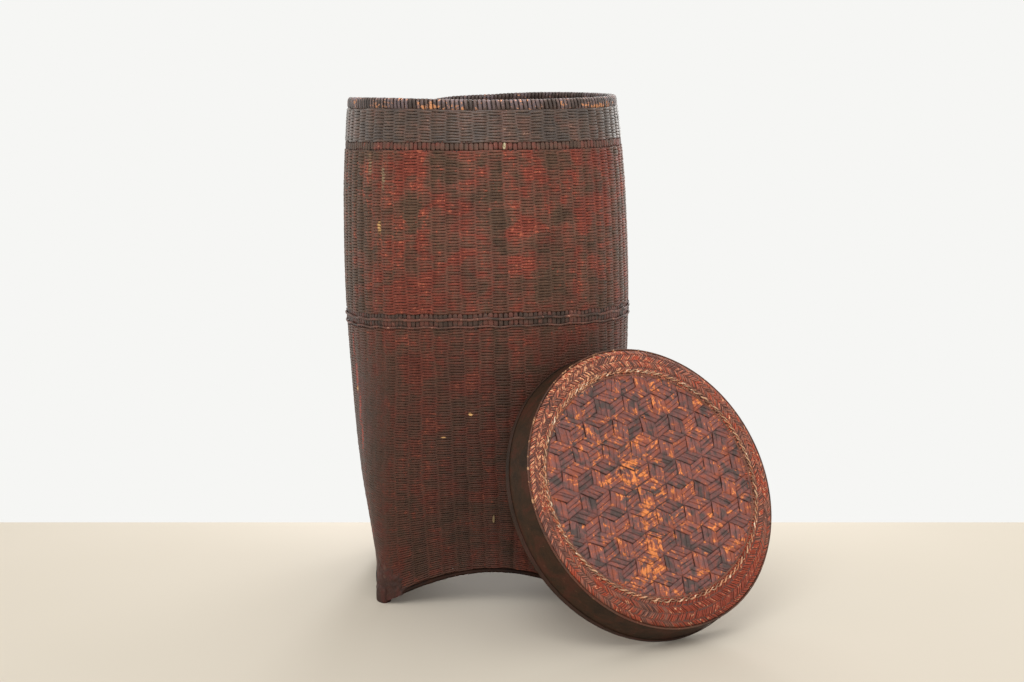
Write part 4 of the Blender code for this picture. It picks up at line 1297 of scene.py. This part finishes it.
def lid_border(trees):
    """The herringbone border on its ground, and the strip and stitches inside it."""
    radii, levels, _ = border_profile()
    # The dark ground shows through the gaps between floats as painted shade
    top = [(radius, w - 0.0005) for radius, w in zip(radii, levels)]
    under = [(0.1348, FACE_UNDERSIDE - 0.0016), (0.1133, FACE_UNDERSIDE)]
    on_lid(turned("lid_border_ground", top + under, "under_border"), "lid_border", "lid_border_weave",
           face=True)
    form = lid_border_form()
    made = grow("lid_border_floats", trees["herringbone"], "lid_border_float",
                form=form.object, length=form.length, height=form.height, girth=BORDER_GIRTH, bands=4,
                floats=340, band_height=form.height / 4, float_width=0.0022, float_thickness=0.0011,
                lean=0.0064, overlap=1.12, seed=51)
    on_lid(made, "lid_border", "lid_border_weave", face=True)
    bpy.data.objects.remove(form.object)
    strip = [(0.1120 + a, LID_HEIGHT - 0.0012 + b) for a, b in ellipse(12, 0.0012, 0.0009, 3.0)]
    on_lid(turned("lid_strip", strip, "ring_strip"), "lid_strip", "lid_ring_strip", face=True)
    made = grow("lid_stitches", trees["stitch"], "cane_stitch", ring_radius=RING_RADIUS,
                level=LID_HEIGHT + 0.0010, half_twists=104, spread=0.0012, rise=0.0005,
                strand_width=0.0017, strand_thickness=0.0012, seed=61)
    on_lid(made, "lid_stitch", "lid_stitching", face=True)


def lid_panel(trees):
    """The three-way panel on its ground, a broken split, and the lining under it."""
    # The dark ground shows through the gaps between splits as painted shade
    ground = [(0.001, FACE_UNDERSIDE), (PANEL_RADIUS, FACE_UNDERSIDE), (PANEL_RADIUS, 0.0358),
              (0.1070, 0.0362), (0.001, 0.0367)]
    on_lid(disc("lid_panel_ground", ground, "under_weave"), "lid_panel", "lid_top_weave", face=True)
    made = grow("lid_panel_splits", trees["three_way"], "lid_panel_split",
                first_edge=(0.016845, 0.006857, 0.0), second_edge=(-0.014731, 0.008411, 0.0),
                origin=(-0.058965, 0.040248, 0.0), cells=8, panel_radius=PANEL_RADIUS + 0.0002,
                level=0.0370, split_thickness=0.0008, dive=0.0010, seed=71)
    on_lid(made, "lid_panel", "lid_top_weave", face=True)
    broken_split()
    made = grow("lid_lining_floor", trees["plain"], "lining_split", splits=34, half_width=0.1351,
                squareness=2.0, split_width=0.0074, split_thickness=0.0006, weave_depth=0.0003,
                level=0.0338, seed=81)
    on_lid(made, "lid_lining", "lid_lining")


def broken_split():
    """A pale end of split that has sprung out of the panel."""
    start, end = Vector((-0.0360, 0.0220, 0.0376)), Vector((-0.0314, 0.0164, 0.0392))
    side = (end - start).cross(Vector((0, 0, 1))).normalized()
    loops = []
    for k in range(9):
        t = k / 8
        taper = 1 - 0.8 * abs(2 * t - 1) ** 3
        loops.append([start.lerp(end, t) + side * (across * taper) + Vector((0, 0, out * taper))
                      for across, out in ellipse(10, 0.00055, 0.00035)])
    on_lid(loft("broken_split", loops, "cane_stitch"), "lid_panel", "lid_top_weave")


# The stage

def area_lamp(name, where, aim, size, watts, colour=(1, 1, 1)):
    lamp = bpy.data.lights.new(name, "AREA")
    lamp.shape = "DISK"
    lamp.size = size
    lamp.energy = watts
    lamp.color = colour
    made = linked(name, lamp)
    made.location = where
    made.rotation_euler = (Vector(aim) - Vector(where)).to_track_quat("-Z", "Y").to_euler()
    made.visible_camera = False


def seen_directly(tree):
    """1 for rays that come straight from the camera, or by gloss or glass."""
    path = by_name(tree, node(tree, "ShaderNodeLightPath").outputs)
    return path.is_camera_ray.most(path.is_glossy_ray).most(path.is_transmission_ray)


def floor():
    """The pale table, as far as its back edge."""
    mesh = bpy.data.meshes.new("floor")
    far = TABLE_REACH
    mesh.from_pydata([(-far, -far, 0), (far, -far, 0), (far, TABLE_BACK_EDGE, 0), (-far, TABLE_BACK_EDGE, 0)],
                     [], [(0, 1, 2, 3)])
    pale = Finish("pale_floor", 0.9)
    speck = cloud(pale.tree, on_object(pale.tree), 3.0)
    mesh.materials.append(pale.finish(mixed(pale.tree, speck, tone("ded5c5"), tone("e4dbcc"))))
    linked("floor", mesh)


def studio():
    """The table, soft light all round and the photograph's camera."""
    floor()
    world = bpy.data.worlds.new("soft_light")
    world.use_nodes = True
    bpy.context.scene.world = world
    tree = world.node_tree
    back = tree.nodes["Background"]
    feed(tree, back.inputs["Color"], mixed(tree, seen_directly(tree), tone("faf8f4"), tone("f6f6f4")))
    feed(tree, back.inputs["Strength"], seen_directly(tree) * 0.35 + 0.65)
    area_lamp("key", (-0.6, -1.9, 2.3), (-0.05, 0, 0.25), 1.8, 23, (1.0, 0.99, 0.97))
    area_lamp("fill", (1.9, -1.2, 1.3), (0, 0, 0.2), 1.8, 6, (1.0, 0.98, 0.95))
    area_lamp("bounce", (0.3, 1.7, 0.9), (0, 0, 0.1), 2.2, 18, (1.0, 0.99, 0.97))
    area_lamp("window", (0.05, -2.7, 1.0), (-0.05, 0, 0.45), 0.7, 7, (0.92, 0.96, 1.0))
    area_lamp("low_back", (-0.05, 0.9, 0.09), (-0.05, 0.07, 0.0), 0.16, 9)
    lens = bpy.data.cameras.new("camera")
    lens.lens = LENS
    lens.sensor_width = SENSOR
    lens.clip_end = 50
    camera = linked("camera", lens)
    camera.location = CAMERA_PLACE
    camera.rotation_euler = (math.radians(90 - CAMERA_DOWN), 0, 0)
    bpy.context.scene.camera = camera
    bpy.context.scene.view_settings.view_transform = "Standard"


def main():
    laying = lay_on_form()
    trees = {"wefts": weft_rows(laying), "stakes": stake_splits(laying), "wraps": rim_wraps(laying),
             "stitch": twined_stitch(), "herringbone": herringbone(laying),
             "three_way": three_way_weave(), "plain": plain_weave()}
    wall = wall_form()
    weave_the_wall(wall, trees)
    corner_work(wall)
    pegs(wall)
    base_floor(trees)
    bpy.data.objects.remove(wall.object)
    for name in ("rim_outer_hoop", "rim_inner_hoop", "rim_core_reed"):
        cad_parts[name].data.materials.clear()
        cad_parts[name].data.materials.append(FINISHES["rim_hoop"])
    lid_sides()
    lid_border(trees)
    lid_panel(trees)
    studio()


main()
